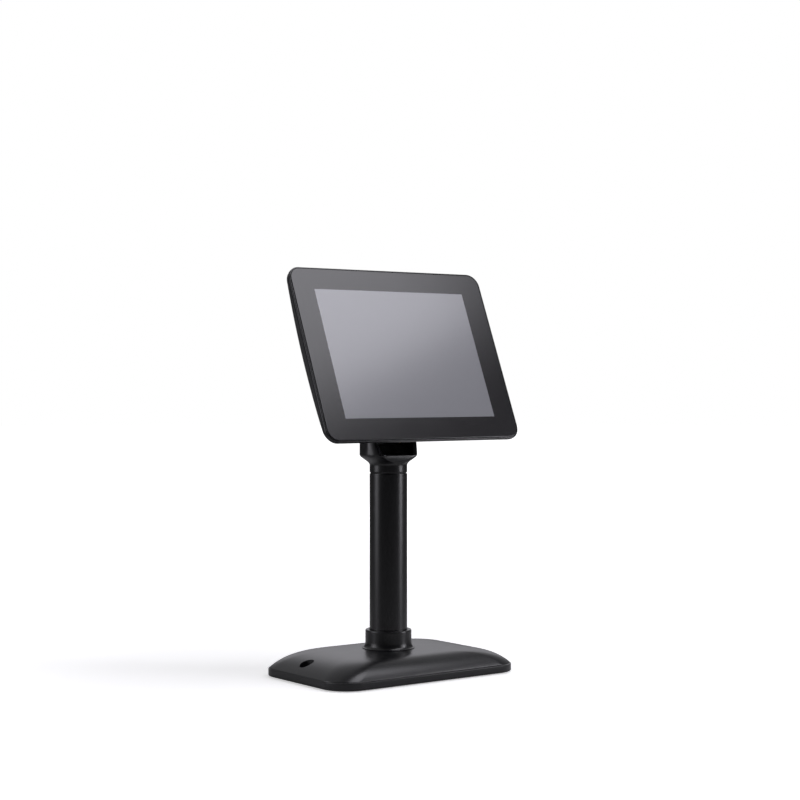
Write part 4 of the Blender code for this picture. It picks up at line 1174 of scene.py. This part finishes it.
def floor():
    """A pale slab, white to the camera and darker in what the glossy pieces mirror."""
    outline = circle(FLOOR_RADIUS, ROUND)
    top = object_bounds()[0].z - 0.05 * MM
    slab = prisms("floor", [outline], top - 10 * MM, top)
    made = bpy.data.materials.new("pale_floor")
    made.use_nodes = True
    tree = made.node_tree
    shader = tree.nodes["Principled BSDF"]
    place = tree.nodes.new("ShaderNodeTexCoord").outputs["Object"]
    colour = mix_colour(tree, noise(tree, place, 3.0), (0.90, 0.90, 0.90), (0.93, 0.93, 0.93))
    path = tree.nodes.new("ShaderNodeLightPath")
    away = tree.nodes.new("ShaderNodeVectorMath")
    away.operation = "LENGTH"
    wire(tree, place, away.inputs[0])
    reach = away.outputs["Value"]
    remote = math_node(tree, "DIVIDE", math_node(tree, "SUBTRACT", reach, 0.3), 0.3, True)
    loss = math_node(tree, "ADD", math_node(tree, "MULTIPLY", remote, 0.45), 0.45)
    dimmed = math_node(tree, "MULTIPLY", path.outputs["Is Glossy Ray"], loss)
    colour = mix_colour(tree, dimmed, colour, (0.06, 0.06, 0.06))
    wire(tree, colour, shader.inputs["Base Color"])
    shader.inputs["Roughness"].default_value = 0.8
    far = math_node(tree, "DIVIDE", math_node(tree, "SUBTRACT", reach, 0.25), 1.2, True)
    seen = math_node(tree, "ADD", math_node(tree, "MULTIPLY", far, 0.55), 0.45)
    direct = math_node(tree, "MULTIPLY", path.outputs["Is Camera Ray"], seen)
    glow = math_node(tree, "ADD", direct, 0.03)
    shader.inputs["Emission Color"].default_value = (1, 1, 1, 1)
    wire(tree, glow, shader.inputs["Emission Strength"])
    slab.data.materials.append(made)
    slab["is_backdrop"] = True


def world():
    """White to the camera. For all else a dim fill, brighter high up and behind the object."""
    made = bpy.data.worlds.new("studio")
    bpy.context.scene.world = made
    made.use_nodes = True
    tree = made.node_tree
    tree.nodes.clear()
    out = tree.nodes.new("ShaderNodeOutputWorld")
    blend = tree.nodes.new("ShaderNodeMixShader")
    fill = tree.nodes.new("ShaderNodeBackground")
    fill.inputs["Color"].default_value = (0.97, 0.965, 1, 1)
    way = tree.nodes.new("ShaderNodeSeparateXYZ")
    wire(tree, tree.nodes.new("ShaderNodeTexCoord").outputs["Generated"], way.inputs[0])
    above = math_node(tree, "SUBTRACT", way.outputs["Z"], 0.10)
    high = math_node(tree, "DIVIDE", above, 0.35, True)
    beyond = math_node(tree, "ADD", way.outputs["Y"], 0.35)
    behind = math_node(tree, "DIVIDE", beyond, 0.6, True)
    glow = math_node(tree, "MULTIPLY", math_node(tree, "MULTIPLY", high, behind), 0.42)
    wire(tree, math_node(tree, "ADD", glow, 0.04), fill.inputs["Strength"])
    white = tree.nodes.new("ShaderNodeBackground")
    white.inputs["Color"].default_value = (1, 1, 1, 1)
    wire(tree, tree.nodes.new("ShaderNodeLightPath").outputs["Is Camera Ray"], blend.inputs[0])
    wire(tree, fill.outputs[0], blend.inputs[1])
    wire(tree, white.outputs[0], blend.inputs[2])
    wire(tree, blend.outputs[0], out.inputs["Surface"])


camera()
finish_frame()
base_shell()
for corner_number in range(1, 5):
    foot_pad(f"foot_{corner_number}")
pole_shell()
collar_shell()
head_shell()
tilt_cap("tilt_cap_left")
tilt_cap("tilt_cap_right")
socket_bolt()
all_screws()
arm_shell()
rim_shell()
glass_pane()
cover_shell()
for key in KEYS:
    key_cap(key)
contacts("video_socket", 9, 0.75 * MM, 0.35 * MM)
contacts("data_socket", 4, 1.5 * MM, 0.9 * MM)

floor()
world()
softbox("upper_softbox", 38, 58, 1.8, 0.86, 1.34, 4.65)
softbox("right_strip", 46, 8, 1.6, 0.45, 0.9, 6.4)
softbox("left_strip", 247, 8, 1.6, 0.7, 0.9, 2.75)
softbox("back_wall", 143, 12, 2.2, 1.6, 0.9, 0.74)
bpy.context.scene.view_settings.view_transform = "Standard"
